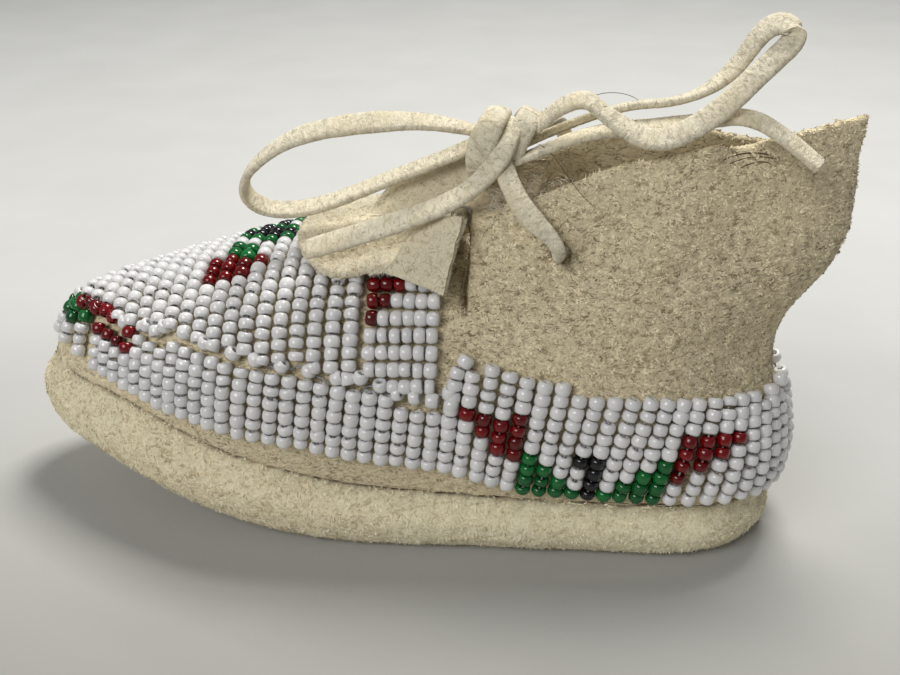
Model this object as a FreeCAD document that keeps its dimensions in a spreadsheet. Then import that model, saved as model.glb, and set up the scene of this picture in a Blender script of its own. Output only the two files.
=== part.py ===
import FreeCAD, Part
import math
import os
import random
from FreeCAD import Placement, Rotation, Vector

# A child's beaded buckskin moccasin, right way up, toe towards -X and heel towards +X.
# The near side is -Y. The origin is under the middle of the sole, on the surface it rests on.

os.makedirs("parts", exist_ok=True)
doc = FreeCAD.newDocument("Moccasin")
random.seed(7)

# ---------------------------------------------------------------- driving dimensions, mm

DIMENSIONS = {
    "sole_length": 111.2,
    "toe_x": -58.8,
    "ball_half_width": 19.2,
    "sole_wall": 10.0,
    "toe_spring": 8.5,
    "spring_start_x": -5.0,
    "sole_thickness": 1.9,
    "hide_thickness": 1.2,
    "instep_height": 43.6,
    "vamp_drop": 13.6,
    "slit_x": 8.3,
    "slit_width": 0.9,
    "slit_bottom": 36.3,
    "cuff_half_width": 10.4,
    "cuff_height": 61.0,
    "back_gap": 0.3,
    "bead_diameter": 2.12,
    "bead_length": 1.5,
    "bead_pitch": 1.64,
    "bead_bore": 0.7,
    "lane_pitch": 2.17,
    "column_pitch": 2.42,
    "row_pitch": 2.2,
    "thread_diameter": 0.26,
    "sinew_diameter": 0.45,
    "thong_diameter": 1.8,
    "tongue_thickness": 1.2,
    "tongue_roll": 2.0,
    "knot_length": 7.4,
    "knot_width": 6.4,
    "knot_height": 9.4,
}

sheet = doc.addObject("Spreadsheet::Sheet", "Dimensions")
for row, (alias, number) in enumerate(DIMENSIONS.items(), start=1):
    sheet.set("A%d" % row, alias)
    sheet.set("B%d" % row, str(number))
    sheet.setAlias("B%d" % row, alias)
doc.recompute()


def dim(alias):
    """The value of a named cell of the sheet."""
    return float(getattr(sheet, alias))


LENGTH = dim("sole_length")
TOE = dim("toe_x")
HIDE = dim("hide_thickness")
UP = Vector(0, 0, 1)


def add_piece(label, shape):
    """A named sub-part whose shape no primitive or sketch feature can make."""
    piece = doc.addObject("Part::Feature", label)
    piece.Label = label
    piece.Shape = shape
    return piece


def mirrored(shape):
    return shape.mirror(Vector(0, 0, 0), Vector(0, 1, 0))


def flat(vector):
    """The vector without its height, at length 1."""
    level = Vector(vector.x, vector.y, 0)
    return level.normalize()


def between(start, end, share):
    return start + (end - start) * share


# ---------------------------------------------------------------- the guide curves

def base_height(x):
    """Height of the sole's underside: flat behind the ball, rising to the toe."""
    reach = (dim("spring_start_x") - x) / (dim("spring_start_x") - TOE)
    return dim("toe_spring") * max(0.0, reach) ** 1.5


def crest_height(x):
    """Height of the vamp along its middle, from the toe up to the instep."""
    crest_start = TOE + 0.093 * LENGTH
    reach = max(0.0, (dim("slit_x") - x) / (dim("slit_x") - crest_start))
    return dim("instep_height") - dim("vamp_drop") * reach ** 1.6


# Seam outline on one side: share of the sole's length, share of the ball's half width,
# and how far the sole's rim stands above its usual wall height there, in mm.
VAMP_SEAM = [(0.016, 0.0, 1.9), (0.030, 0.21, 2.0), (0.062, 0.39, 2.6), (0.115, 0.55, 3.5),
             (0.180, 0.72, 3.8), (0.265, 0.895, 3.0), (0.352, 0.985, 2.2), (0.480, 0.985, 1.1),
             (0.603, 0.925, 0.2)]
QUARTER_SEAM = [(0.611, 0.921, 0.15), (0.692, 0.885, -0.4), (0.781, 0.850, -0.6), (0.870, 0.800, -0.8),
                (0.943, 0.640, -1.2), (0.984, 0.370, -1.6), (1.0, 0.0, -1.8)]
# Where each vamp rib meets the crest, as a share of the sole's length.
CREST_STATIONS = [0.093, 0.103, 0.122, 0.158, 0.212, 0.285, 0.364, 0.482, 0.603]
# Top edge of the cuff: shares of length, of cuff half width and of cuff height,
# then how far the wall stands out at the neck and at the cuff, in mm.
CUFF_STATIONS = [(0.611, 0.98, 0.820, 2.4, 1.0), (0.692, 0.93, 0.855, 2.2, 1.0),
                 (0.781, 0.86, 0.923, 1.4, 1.0), (0.875, 0.70, 0.956, 0.2, 0.8),
                 (0.965, 0.38, 0.975, -1.6, 0.9), (1.028, 0.17, 0.996, -2.9, 1.2),
                 (1.058, 0.0, 1.0, -3.5, 1.5)]


def seam_point(station):
    x = TOE + station[0] * LENGTH
    half_width = station[1] * dim("ball_half_width")
    return Vector(x, half_width, base_height(x) + dim("sole_wall") + station[2])


seam_points = [seam_point(station) for station in VAMP_SEAM + QUARTER_SEAM]
travel = [0.0]
for start, end in zip(seam_points, seam_points[1:]):
    travel.append(travel[-1] + (end - start).Length)
VAMP_TRAVEL = travel[:len(VAMP_SEAM)]
QUARTER_TRAVEL = travel[len(VAMP_SEAM):]


def rail(points, distances, **ends):
    """A smooth curve through the points, its parameter the travel along the seam."""
    curve = Part.BSplineCurve()
    curve.interpolate(Points=points, Parameters=distances, **ends)
    return curve


seam_rail = rail(seam_points, travel, InitialTangent=Vector(0, 1, 0), FinalTangent=Vector(0, -1, 0),
                 Scale=False)
crest_points = [Vector(TOE + share * LENGTH, 0, crest_height(TOE + share * LENGTH))
                for share in CREST_STATIONS]
crest_rail = rail(crest_points, VAMP_TRAVEL)
cuff_points = [Vector(TOE + share * LENGTH, width * dim("cuff_half_width"), height * dim("cuff_height"))
               for share, width, height, neck, lean in CUFF_STATIONS]
cuff_rail = rail(cuff_points, QUARTER_TRAVEL)
stance_rail = rail([Vector(neck, lean, 0) for *edge, neck, lean in CUFF_STATIONS], QUARTER_TRAVEL)

# Shape of a vamp rib: share of the way out from the crest, share of the way up from the seam.
SIDE_PROFILE = [(1.0, 0.0), (1.05, 0.24), (0.96, 0.52), (0.76, 0.77), (0.43, 0.94), (0.0, 1.0)]
TOE_PROFILE = [(1.0, 0.0), (0.84, 0.24), (0.66, 0.52), (0.46, 0.76), (0.23, 0.92), (0.0, 1.0)]
TOE_BLEND = 42.0


def vamp_rib(distance):
    """The hide's outer face from the seam up to the crest, and its outward direction."""
    foot = seam_rail.value(distance)
    head = crest_rail.value(distance)
    outward = flat(foot - head)
    reach = Vector(foot.x - head.x, foot.y - head.y, 0).Length
    side = min(1.0, distance / TOE_BLEND)
    points = []
    for (toe_out, toe_up), (side_out, side_up) in zip(TOE_PROFILE, SIDE_PROFILE):
        out = toe_out + (side_out - toe_out) * side
        up = toe_up + (side_up - toe_up) * side
        points.append(Vector(head.x, head.y, foot.z) + outward * (reach * out) + UP * ((head.z - foot.z) * up))
    return smooth(points), outward


# Ribs behind this point fan out round the heel; in front of it they stand square across.
HEEL_FAN_X = 30.0


def quarter_rib(distance):
    """The hide's outer face from the seam up to the cuff's edge, and its outward direction."""
    foot = seam_rail.value(distance)
    head = cuff_rail.value(distance)
    stance = stance_rail.value(distance)
    outward = flat(foot - Vector(min(foot.x, HEEL_FAN_X), 0, 0))
    points = [foot,
              foot + outward * 1.1 + UP * 8.0,
              between(foot, head, 0.45) + outward * stance.x,
              between(foot, head, 0.64) + outward * stance.y,
              between(foot, head, 0.83) + outward * (0.85 * stance.y),
              head]
    return smooth(points), outward


def smooth(points):
    curve = Part.BSplineCurve()
    curve.interpolate(points)
    return curve


def rib_at(distance):
    if distance <= VAMP_TRAVEL[-1]:
        return vamp_rib(distance)
    return quarter_rib(max(distance, QUARTER_TRAVEL[0]))


def rib_wire(curve, outward):
    """The hide's cut section at a rib: up the outer face and back down the inner one."""
    inner = []
    for parameter in spread(curve.LastParameter, curve.FirstParameter, 9):
        along = curve.tangent(parameter)[0]
        normal = outward * along.z - UP * along.dot(outward)
        inner.append(curve.value(parameter) - normal.normalize() * HIDE)
    foot = curve.value(curve.FirstParameter)
    head = curve.value(curve.LastParameter)
    if abs(head.y) < 0.001:
        inner[0].y = 0  # so that the two halves meet face to face along the crest
    edges = [curve.toShape(),
             Part.LineSegment(head, inner[0]).toShape(),
             smooth(inner).toShape(),
             Part.LineSegment(inner[-1], foot).toShape()]
    return Part.Wire(edges)


def spread(first, last, count):
    return [first + (last - first) * step / (count - 1) for step in range(count)]


# ---------------------------------------------------------------- sole

def sole_wire(distance):
    """Section of the sole from its middle line out to the edge and up to the seam."""
    foot = seam_rail.value(distance)
    middle_x = -3.0 + 0.8 * (foot.x + 3.0)
    middle = Vector(middle_x, 0, 0)
    outward = flat(foot - middle)
    reach = Vector(foot.x - middle.x, foot.y, 0).Length
    wall = foot.z - base_height(foot.x)
    thickness = dim("sole_thickness")

    def place(out, height):
        point = middle + outward * out
        return point + UP * (base_height(point.x) + height - 0.05)

    bulge = 1.2 + 1.2 * max(0.0, 1.0 - distance / 45.0)
    outer = [place(reach - 5.0, 0), place(reach - 1.0, 0.7), place(reach + bulge - 0.2, 0.33 * wall),
             place(reach + bulge, 0.6 * wall), place(reach - 0.1, wall - 0.1)]
    inner = [place(reach - 1.9, wall - 0.1), place(reach - 0.9, 0.62 * wall), place(reach - 1.2, 0.42 * wall),
             place(reach - 3.0, thickness + 0.5), place(reach - 5.5, thickness)]
    side = Part.BSplineCurve()
    side.interpolate(Points=outer, InitialTangent=outward * 3.0, FinalTangent=UP * 3.0)
    lining = Part.BSplineCurve()
    lining.interpolate(Points=inner, InitialTangent=UP * -3.0, FinalTangent=outward * -3.0)
    edges = [Part.LineSegment(place(0, 0), outer[0]).toShape(),
             side.toShape(),
             Part.LineSegment(outer[-1], inner[0]).toShape(),
             lining.toShape(),
             Part.LineSegment(inner[-1], place(0, thickness)).toShape(),
             Part.LineSegment(place(0, thickness), place(0, 0)).toShape()]
    return Part.Wire(edges)


def make_sole():
    half = Part.makeLoft([sole_wire(distance) for distance in spread(0, travel[-1], 19)], True, False)
    whole = half.fuse(mirrored(half))
    above_ground = Part.makeBox(200, 100, 50, Vector(-100, -50, 0))
    return whole.common(above_ground)


# ---------------------------------------------------------------- upper

HOLE = Vector(21.0, 0, 44.8)
# The cuff's far edge sags a little below the near one.
FAR_DIP_RADIUS = 34.0


def make_upper():
    """One hide: two mirrored halves joined along the crest, slit at the instep, open at the back."""
    vamp = [rib_wire(*vamp_rib(distance)) for distance in spread(0, VAMP_TRAVEL[-1], 14)]
    quarter = [rib_wire(*quarter_rib(distance))
               for distance in spread(QUARTER_TRAVEL[0], QUARTER_TRAVEL[-1], 12)]
    front = Part.makeLoft(vamp, True, False)
    back = Part.makeLoft(quarter, True, False)
    bridge = Part.makeLoft([vamp[-1], quarter[0]], True, True)
    above_slit = Part.makeBox(4, 40, 60, Vector(dim("slit_x") - 1.5, -1, dim("slit_bottom")))
    half = front.fuse([bridge.cut(above_slit), back])
    gap = Part.makeBox(30, dim("back_gap") / 2, 80, Vector(45, 0, 5))
    half = half.cut(gap)
    hole = Part.makeCylinder(1.35, 30, HOLE, Vector(0, 1, 0))
    half = half.cut(hole)
    dip = Part.makeCylinder(FAR_DIP_RADIUS, 20, Vector(47, 0.5, 56.4 + FAR_DIP_RADIUS), Vector(0, 1, 0))
    return half.cut(dip).fuse(mirrored(half))


# ---------------------------------------------------------------- tongue

TONGUE_AXIS = Vector(7.6, 0, 47.8)


def vamp_top(x, y):
    """Height of the vamp's outer face over a point near the crest."""
    half_width = 0.93 * dim("ball_half_width")
    fall = 1.0 - (1.0 - min(1.0, abs(y) / half_width) ** 2.3) ** 0.62
    seam = base_height(x) + dim("sole_wall") + 1.5
    return crest_height(x) - fall * (crest_height(x) - seam)


def tongue_wire(x):
    """Section of the tongue lying over the beads of the vamp."""
    over_beads = dim("bead_diameter") + 0.65
    lift = over_beads + 0.9 * max(0.0, (x + 9.0) / 16.0)
    spans = [-14.5, -9.0, -3.0, 3.0, 8.0, 12.0]
    lower = [Vector(x, y, vamp_top(x, 0.75 * y) + lift) for y in spans]
    upper = [point + UP * dim("tongue_thickness") for point in reversed(lower)]
    edges = [smooth(lower).toShape(),
             Part.LineSegment(lower[-1], upper[0]).toShape(),
             smooth(upper).toShape(),
             Part.LineSegment(upper[-1], lower[0]).toShape()]
    return Part.Wire(edges)


def add_tongue():
    """A soft blade lying on the vamp, its root rolled into the hinge line."""
    slab = Part.makeLoft([tongue_wire(x) for x in (-22, -15, -8, 0, 7.4)], True, False)
    outline = [Vector(6.9, -9.4, 20), Vector(3.0, -12.6, 20), Vector(-4.0, -13.0, 20),
               Vector(-10.5, -12.2, 20), Vector(-14.4, -8.8, 20), Vector(-15.6, -3.4, 20),
               Vector(-13.6, 2.2, 20), Vector(-9.0, 6.6, 20), Vector(-3.0, 8.6, 20),
               Vector(3.0, 8.6, 20), Vector(6.9, 8.2, 20)]
    edge = smooth(outline).toShape()
    root = Part.LineSegment(outline[-1], outline[0]).toShape()
    blade = Part.Face(Part.Wire([edge, root])).extrude(Vector(0, 0, 40))
    leaf = add_piece("tongue_leaf", slab.common(blade))
    roll = doc.addObject("Part::Cylinder", "tongue_root")
    roll.setExpression("Radius", "Dimensions.tongue_roll / 2")
    roll.Height = 16.4
    roll.Placement = Placement(TONGUE_AXIS - Vector(0, 8.2, 0), Rotation(UP, Vector(0, 1, 0)))
    tongue = doc.addObject("Part::Fuse", "tongue")
    tongue.Label = "tongue"
    tongue.Base = leaf
    tongue.Tool = roll
    return tongue


# ---------------------------------------------------------------- beads

def make_bead(length):
    """One glass bead, its bore along Z."""
    radius = dim("bead_diameter") / 2
    bore = dim("bead_bore") / 2
    half = length / 2
    rim = math.sqrt(radius ** 2 - half ** 2)
    corners = [Vector(bore, 0, -half), Vector(rim, 0, -half), Vector(rim, 0, half), Vector(bore, 0, half)]
    edges = [Part.LineSegment(corners[0], corners[1]).toShape(),
             Part.Arc(corners[1], Vector(radius, 0, 0), corners[2]).toShape(),
             Part.LineSegment(corners[2], corners[3]).toShape(),
             Part.LineSegment(corners[3], corners[0]).toShape()]
    section = Part.Face(Part.Wire(edges))
    return section.revolve(Vector(0, 0, 0), Vector(0, 0, 1), 360)


BEADS = [make_bead(dim("bead_length") + change) for change in (-0.14, -0.05, 0.0, 0.05)]
COLOURS = {"W": "white", "R": "red", "G": "green", "K": "black"}
groups = {}
strings = {}
laid = []


def surface_point(distance, height):
    """Point of the hide's outer face: travel along the seam, then height along the rib."""
    curve, outward = rib_at(distance)
    parameter = curve.parameterAtDistance(height, curve.FirstParameter)
    return curve.value(parameter)


def outward_normal(distance, height):
    side = surface_point(distance + 0.8, height) - surface_point(distance - 0.8, height)
    rise = surface_point(distance, height + 0.4) - surface_point(distance, height - 0.4)
    normal = rise.cross(side)
    return normal.normalize()


def has_room(centre):
    """Whether a bead here would stand clear of the beads already laid."""
    least = dim("bead_diameter") - 0.04
    return all((centre - other).Length > least for other in laid)


THREAD_SIDES = 8


def thread_ring(centre, along):
    """Section of the thread across its run, an even polygon."""
    radius = dim("thread_diameter") / 2
    frame = Placement(centre, Rotation(UP, along))
    corners = []
    for side in range(THREAD_SIDES + 1):
        turn = 2 * math.pi * (side % THREAD_SIDES) / THREAD_SIDES
        corners.append(frame.multVec(Vector(radius * math.cos(turn), radius * math.sin(turn), 0)))
    return Part.makePolygon(corners)


def lay_string(area, spots, pattern):
    """Thread one string of beads, each turned along the thread, where there is room for it."""
    kept = [(centre, colour) for centre, colour in zip(spots, pattern) if has_room(centre)]
    if len(kept) < 2:
        return
    centres = [centre for centre, colour in kept]
    for index, (centre, colour) in enumerate(kept):
        before = centres[max(0, index - 1)]
        after = centres[min(len(centres) - 1, index + 1)]
        bead = random.choice(BEADS).copy()
        bead.Placement = Placement(centre, Rotation(UP, after - before))
        groups.setdefault((area, COLOURS[colour]), []).append(bead)
    laid.extend(centres)
    reach = dim("bead_length") * 0.45
    start = centres[0] - (centres[1] - centres[0]).normalize() * reach
    end = centres[-1] + (centres[-1] - centres[-2]).normalize() * reach
    stops = [start] + centres + [end]
    rings = []
    for index, stop in enumerate(stops):
        along = stops[min(len(stops) - 1, index + 1)] - stops[max(0, index - 1)]
        rings.append(thread_ring(stop, along))
    strings.setdefault(area, []).append(Part.makeLoft(rings, True, False))


def flip(points):
    return [Vector(point.x, -point.y, point.z) for point in points]


# The band's figure, lane by lane away from its middle lane, each lane read upwards.
FIGURE_TO_TOE = ["KKKK", "GWWK", "GG", "GGG", "GGGG", "WWWRRRR", "WWWRRR", "WWWWRR", "WWWWWR"]
FIGURE_TO_HEEL = ["KKKK", "G", "GG", "GGG", "GGGG", "WWRRRR", "WWWRRR", "WWWWRR", "WWWWWR"]
FIGURE_TRAVEL = 89.1
# Behind this travel the lanes fan in round the heel, so they are set a little further apart.
HEEL_TRAVEL = 100.0
# The figure at the toe, lane by lane back from the tip.
TOE_LANES = ["WGGW", "WWGG", "WWGG", "WWGG", "WWGG", "WWWG", "WWRR", "WWWR", "WWWR", "WWWR", "WWWR"]
FULL_BAND_TRAVEL = VAMP_TRAVEL[-1] - 2.4
# How far each lane leans towards the heel as it rises, against its travel along the seam.
SLANTS = [(0.0, 0.0), (6.0, -0.12), (14.0, -0.16), (30.0, 0.0), (50.0, 0.08), (72.0, 0.10),
          (92.0, 0.22), (104.0, 0.18), (126.0, 0.0)]
# Height of bare hide between the seam and the band, in mm, against travel along the seam.
STRIP = [(0.0, 4.2), (9.0, 3.8), (16.0, 2.8), (22.0, 2.6), (29.0, 3.3), (40.0, 5.0), (50.0, 6.2),
         (64.0, 5.8), (72.0, 5.2), (76.0, 4.2), (81.0, 2.9), (126.0, 2.1)]


def at_travel(stations, distance):
    """The value between a table's stations at a travel along the seam."""
    for (start, low), (end, high) in zip(stations, stations[1:]):
        if distance <= end:
            return low + (high - low) * (distance - start) / (end - start)
    return stations[-1][1]


def band_rows(distance):
    """Beads in a lane: four at the toe, six beside the vamp, ten from the slit back, nine at the heel."""
    if distance > FULL_BAND_TRAVEL:
        return 9 if distance > FULL_BAND_TRAVEL + 14 else 10
    if distance < 24:
        return 4
    return 6 if 31 < distance < 63 else 5


def lane_colours(lane, figure_lane):
    if lane < len(TOE_LANES):
        return TOE_LANES[lane]
    figure = FIGURE_TO_TOE if lane < figure_lane else FIGURE_TO_HEEL
    offset = abs(lane - figure_lane)
    return figure[offset] if offset < len(figure) else ""


def make_band():
    """The border band above the seam, all round."""
    clearance = dim("bead_diameter") / 2 + 0.1
    lanes = [dim("lane_pitch") / 2]
    while lanes[-1] < travel[-1] - 2.0:
        looser = 1.13 if lanes[-1] > HEEL_TRAVEL else 1.0
        lanes.append(lanes[-1] + dim("lane_pitch") * looser)
    figure_lane = min(range(len(lanes)), key=lambda lane: abs(lanes[lane] - FIGURE_TRAVEL))
    for lane, distance in enumerate(lanes):
        strip = at_travel(STRIP, distance)
        centres = []
        for row in range(band_rows(distance)):
            height = strip + (row + 0.5) * dim("bead_pitch")
            along = min(travel[-1] - 0.9, max(0.9, distance + at_travel(SLANTS, distance) * height))
            foot = surface_point(along, height)
            centres.append(foot + outward_normal(along, height) * clearance)
        colours = lane_colours(lane, figure_lane).ljust(len(centres), "W")
        lay_string("band", centres, colours)
        lay_string("band", flip(centres), colours)


def bisect(rises_past, low, high):
    """Where a rising quantity passes its mark, between low and high."""
    for halving in range(18):
        middle = (low + high) / 2
        if rises_past(middle):
            high = middle
        else:
            low = middle
    return (low + high) / 2


def vamp_low(distance):
    """Height along the rib, above the seam, where the vamp's beading ends."""
    return 6.0 + 8.0 * min(1.0, distance / 45.0)


def rib_spot(distance, share):
    """Point at a share of the way up a rib, and how far it is above the beading's lower edge."""
    curve, outward = vamp_rib(distance)
    parameter = curve.FirstParameter + share * (curve.LastParameter - curve.FirstParameter)
    height = curve.length(curve.FirstParameter, parameter) if share > 0.001 else 0.0
    return curve.value(parameter), height - vamp_low(distance)


def section_points(x):
    """The vamp's outer face cut square across at x, from its middle down to the seam,
    each point with how far it is above the lower edge of the vamp's beading."""
    if x not in sections:
        top = 1.0
        if x < crest_rail.value(0.0).x:
            top = bisect(lambda share: rib_spot(0.0, share)[0].x > x, 0.0, 1.0)
        spots = []
        for share in spread(top, 0.0, 14):
            distance = bisect(lambda along: rib_spot(along, share)[0].x > x, 0.0, VAMP_TRAVEL[-1])
            point, spare = rib_spot(distance, share)
            spots.append((Vector(x, point.y, point.z), spare))
        spots[0] = (Vector(x, 0, spots[0][0].z), spots[0][1])
        sections[x] = spots
    return sections[x]


sections = {}

# The vamp's figure: for each column back from the first, the beads read down from the
# figure's own middle, which lies two beads past the crest on the far side.
VAMP_FIGURE = {0: "WWWWWRRR", 1: "KGWGGRRR", 2: "KKGWGGRR", 3: "GKKGWWR", 4: "WGKGW"}
VAMP_FIGURE_X = -28.2
FIGURE_MIDDLE = -2
TOE_FIGURE = {-1: "GGG", 0: "WGGGG", 1: "WWGRRR", 2: "WWWRRRR", 3: "WWWWRRRR", 4: "WWWWWWRR", 5: "WWWWWWWR"}


def make_vamp_columns():
    """Strings of beads laid across the vamp, side by side from the toe to the instep."""
    clearance = dim("bead_diameter") / 2 + 0.1
    first_x = TOE + 4.4
    last_x = dim("slit_x") - 13.1
    count = int((last_x - first_x) / dim("column_pitch"))
    figure_column = round((VAMP_FIGURE_X - first_x) / dim("column_pitch"))
    for column in range(count + 1):
        x = first_x + column * dim("column_pitch")
        centres = column_centres(x, clearance)
        if len(centres) < 2:
            continue
        both = list(reversed(flip(centres[1:]))) + centres
        crest = len(centres) - 1
        colours = ""
        for index in range(len(both)):
            if column - figure_column in VAMP_FIGURE:
                figure = VAMP_FIGURE[column - figure_column]
                row = abs(index - crest + FIGURE_MIDDLE)
            else:
                figure = TOE_FIGURE.get(column - 1, "")
                row = abs(index - crest)
            colours += figure[row] if row < len(figure) else "W"
        lay_string("vamp", both, colours)


def column_centres(x, clearance):
    """Bead centres of one half column, from the crest down to the edge of the beading."""
    section = section_points(x)
    points = [point for point, spare in section]
    spares = [spare for point, spare in section]
    curve = smooth(points)
    length = curve.length()
    centres = []
    walked = 0.0
    while walked < length - 0.5:
        parameter = curve.parameterAtDistance(walked, curve.FirstParameter)
        point = curve.value(parameter)
        nearest = min(range(len(points)), key=lambda index: (points[index] - point).Length)
        if spares[nearest] < 0:
            break
        along = curve.tangent(parameter)[0]
        normal = face_normal(point, along)
        centres.append(point + normal * clearance)
        walked += dim("bead_pitch")
    if centres:
        centres[0].y = 0
    return centres


def face_normal(point, along):
    """Outward direction of the vamp at a point, square to the string."""
    slope = (crest_height(point.x + 0.5) - crest_height(point.x - 0.5))
    forward = Vector(1, 0, slope)
    normal = along.cross(forward)
    if normal.z < 0:
        normal = normal * -1.0
    return normal.normalize()


# Rows beside the slit, read back from the vamp's last column, from the tongue's edge down.
INSTEP_FIGURE = {4: "WWGGGW", 5: "WWWGGG", 6: "RRRWWW", 7: "RRWWWW", 8: "RWWWWW"}
INSTEP_LENGTH = 6


def make_instep_rows():
    """Short strings laid lengthwise between the last column and the slit."""
    clearance = dim("bead_diameter") / 2 + 0.1
    start_x = dim("slit_x") - 2.6
    for row in range(-13, 14):
        drop = max(0.0, abs(row) * dim("row_pitch") - 0.7)
        centres = []
        for index in range(INSTEP_LENGTH):
            x = start_x - (INSTEP_LENGTH - 0.5 - index) * dim("bead_pitch")
            curve = smooth([point for point, spare in section_points(x)])
            parameter = curve.parameterAtDistance(max(0.01, drop), curve.FirstParameter)
            along = curve.tangent(parameter)[0]
            point = curve.value(parameter)
            centres.append(point + face_normal(point, along) * clearance)
        if row < 0:
            centres = flip(centres)
        lay_string("instep", centres, INSTEP_FIGURE.get(abs(row), "WWWWWW"))


# ---------------------------------------------------------------- sewing threads

def add_rings(label, spots, radius_rule, wire_rule):
    """A row of thread loops, each a torus round its own spot and axis."""
    loops = []
    for index, (centre, axis) in enumerate(spots):
        loop = doc.addObject("Part::Torus", "%s_%02d" % (label, index))
        loop.setExpression("Radius1", radius_rule)
        loop.setExpression("Radius2", wire_rule)
        loop.Placement = Placement(centre, Rotation(UP, axis))
        loops.append(loop)
    row = doc.addObject("Part::Compound", label)
    row.Label = label
    row.Links = loops
    return row


def add_back_stitches():
    """Sinew loops that close the back edges of the hide."""
    spots = []
    curve, outward = quarter_rib(travel[-1])
    length = curve.length()
    for distance in spread(17.0, length - 2.0, 12):
        parameter = curve.parameterAtDistance(distance, curve.FirstParameter)
        along = curve.tangent(parameter)[0]
        inward = UP.cross(along).cross(along).normalize()
        spots.append((curve.value(parameter) + inward * HIDE / 2, along))
    return add_rings("back_seam_stitches", spots, "Dimensions.hide_thickness / 2", "Dimensions.sinew_diameter / 3")


def add_tongue_stitches():
    """Thread loops that hold the tongue's rolled root to the edge of the vamp."""
    spots = [(TONGUE_AXIS + Vector(0, y, 0), Vector(0, 1, 0)) for y in spread(-7.4, 7.4, 8)]
    return add_rings("tongue_stitches", spots, "Dimensions.tongue_roll / 2 + 0.3", "Dimensions.thread_diameter * 0.8")


def make_sole_thread():
    """The sinew that joins sole and upper, running in the crease between them."""
    rings = []
    for distance in spread(0, travel[-1], 40):
        foot = seam_rail.value(distance)
        along = seam_rail.tangent(distance)[0]
        inward = flat(along.cross(UP))
        centre = foot + inward * 0.9 - UP * 0.07
        circle = Part.Circle(centre, along, dim("sinew_diameter") * 0.35)
        rings.append(Part.Wire(circle.toShape()))
    half = Part.makeLoft(rings, True, False)
    return half.fuse(mirrored(half))


# ---------------------------------------------------------------- the thong

def thong(name, points):
    """A soft thong: straight runs joined by arcs that touch both."""
    corners = [Vector(*point) for point in points]
    edges = []
    start = corners[0]
    tightest = 1000.0
    for before, corner, after in zip(corners, corners[1:], corners[2:]):
        entry = (before - corner).normalize()
        leave = (after - corner).normalize()
        half_turn = (math.pi - entry.getAngle(leave)) / 2
        back = 0.45 * min((before - corner).Length, (after - corner).Length)
        radius = back / math.tan(half_turn)
        tightest = min(tightest, radius)
        arc_start = corner + entry * back
        arc_end = corner + leave * back
        bisector = (entry + leave).normalize()
        middle = corner + bisector * (radius / math.cos(half_turn) - radius)
        edges.append(Part.LineSegment(start, arc_start).toShape())
        edges.append(Part.Arc(arc_start, middle, arc_end).toShape())
        start = arc_end
    edges.append(Part.LineSegment(start, corners[-1]).toShape())
    path = Part.Wire(edges)
    circle = Part.Circle(corners[0], corners[1] - corners[0], dim("thong_diameter") / 2)
    tube = path.makePipeShell([Part.Wire(circle.toShape())], True, False)
    section = math.pi * dim("thong_diameter") ** 2 / 4
    print("%s: length %.1f, tightest arc %.2f, volume share %.3f"
          % (name, path.Length, tightest, tube.Volume / (section * path.Length)))
    return tube


KNOT_CENTRE = Vector(12.6, -6.4, 57.8)
THONGS = {
    "lace_left_loop": [(8.4, -6.8, 59.2), (2.0, -8.0, 60.8), (-7.0, -9.0, 60.2), (-15.6, -9.6, 58.0),
                       (-22.6, -8.8, 51.6), (-20.4, -6.6, 46.8), (-13.0, -5.4, 47.0), (-3.0, -4.6, 51.4),
                       (8.4, -5.0, 56.4)],
    "lace_right_loop": [(16.8, -6.8, 60.0), (21.9, -8.0, 65.4), (26.4, -8.9, 62.0), (32.0, -9.3, 60.2),
                        (38.8, -8.0, 62.4), (44.0, -6.2, 67.8), (48.8, -4.4, 72.4), (44.8, -2.8, 73.6),
                        (41.0, -3.0, 66.6), (35.4, -4.0, 63.2), (27.5, -4.8, 62.8), (16.8, -4.6, 58.0)],
    "lace_left_tail": [(11.6, -10.7, 55.0), (7.6, -12.6, 51.8), (-1.5, -12.8, 47.8), (-12.6, -11.8, 43.6)],
    "lace_right_tail": [(16.6, -8.8, 57.0), (23.5, -7.4, 59.8), (31.4, -6.7, 60.7), (38.2, -5.6, 61.4),
                        (43.4, -7.2, 62.8), (48.6, -9.0, 60.0), (52.0, -10.0, 57.4)],
    "lace_near_lead": [(13.8, -11.2, 54.4), (16.4, -13.0, 50.8), (20.8, -14.4, 47.2), (21.0, -14.0, 44.8),
                       (21.0, -10.6, 44.8)],
    "lace_far_lead": [(14.6, -2.6, 57.0), (17.0, 4.0, 57.6), (19.4, 11.8, 56.4), (20.8, 14.6, 49.6),
                      (21.0, 14.0, 44.8), (21.0, 10.6, 44.8)],
    "lace_inner_run": [(23.4, -9.3, 44.8), (28.0, -8.6, 45.2), (34.0, -7.8, 45.6), (42.0, -5.6, 46.4),
                       (47.6, -2.8, 47.0), (47.6, 2.8, 47.0), (42.0, 5.6, 46.4), (34.0, 7.8, 45.6),
                       (28.0, 8.6, 45.2), (23.4, 9.3, 44.8)],
}


def add_knot():
    """The bow's knot: a wrap of thong round the crossing, as one lump."""
    lump = doc.addObject("Part::Ellipsoid", "lace_knot")
    lump.Label = "lace_knot"
    lump.setExpression("Radius2", "Dimensions.knot_length / 2")
    lump.setExpression("Radius3", "Dimensions.knot_width / 2")
    lump.setExpression("Radius1", "Dimensions.knot_height / 2")
    lump.Placement.Base = KNOT_CENTRE
    return lump


# ---------------------------------------------------------------- build and export

make_band()
make_vamp_columns()
make_instep_rows()

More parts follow.
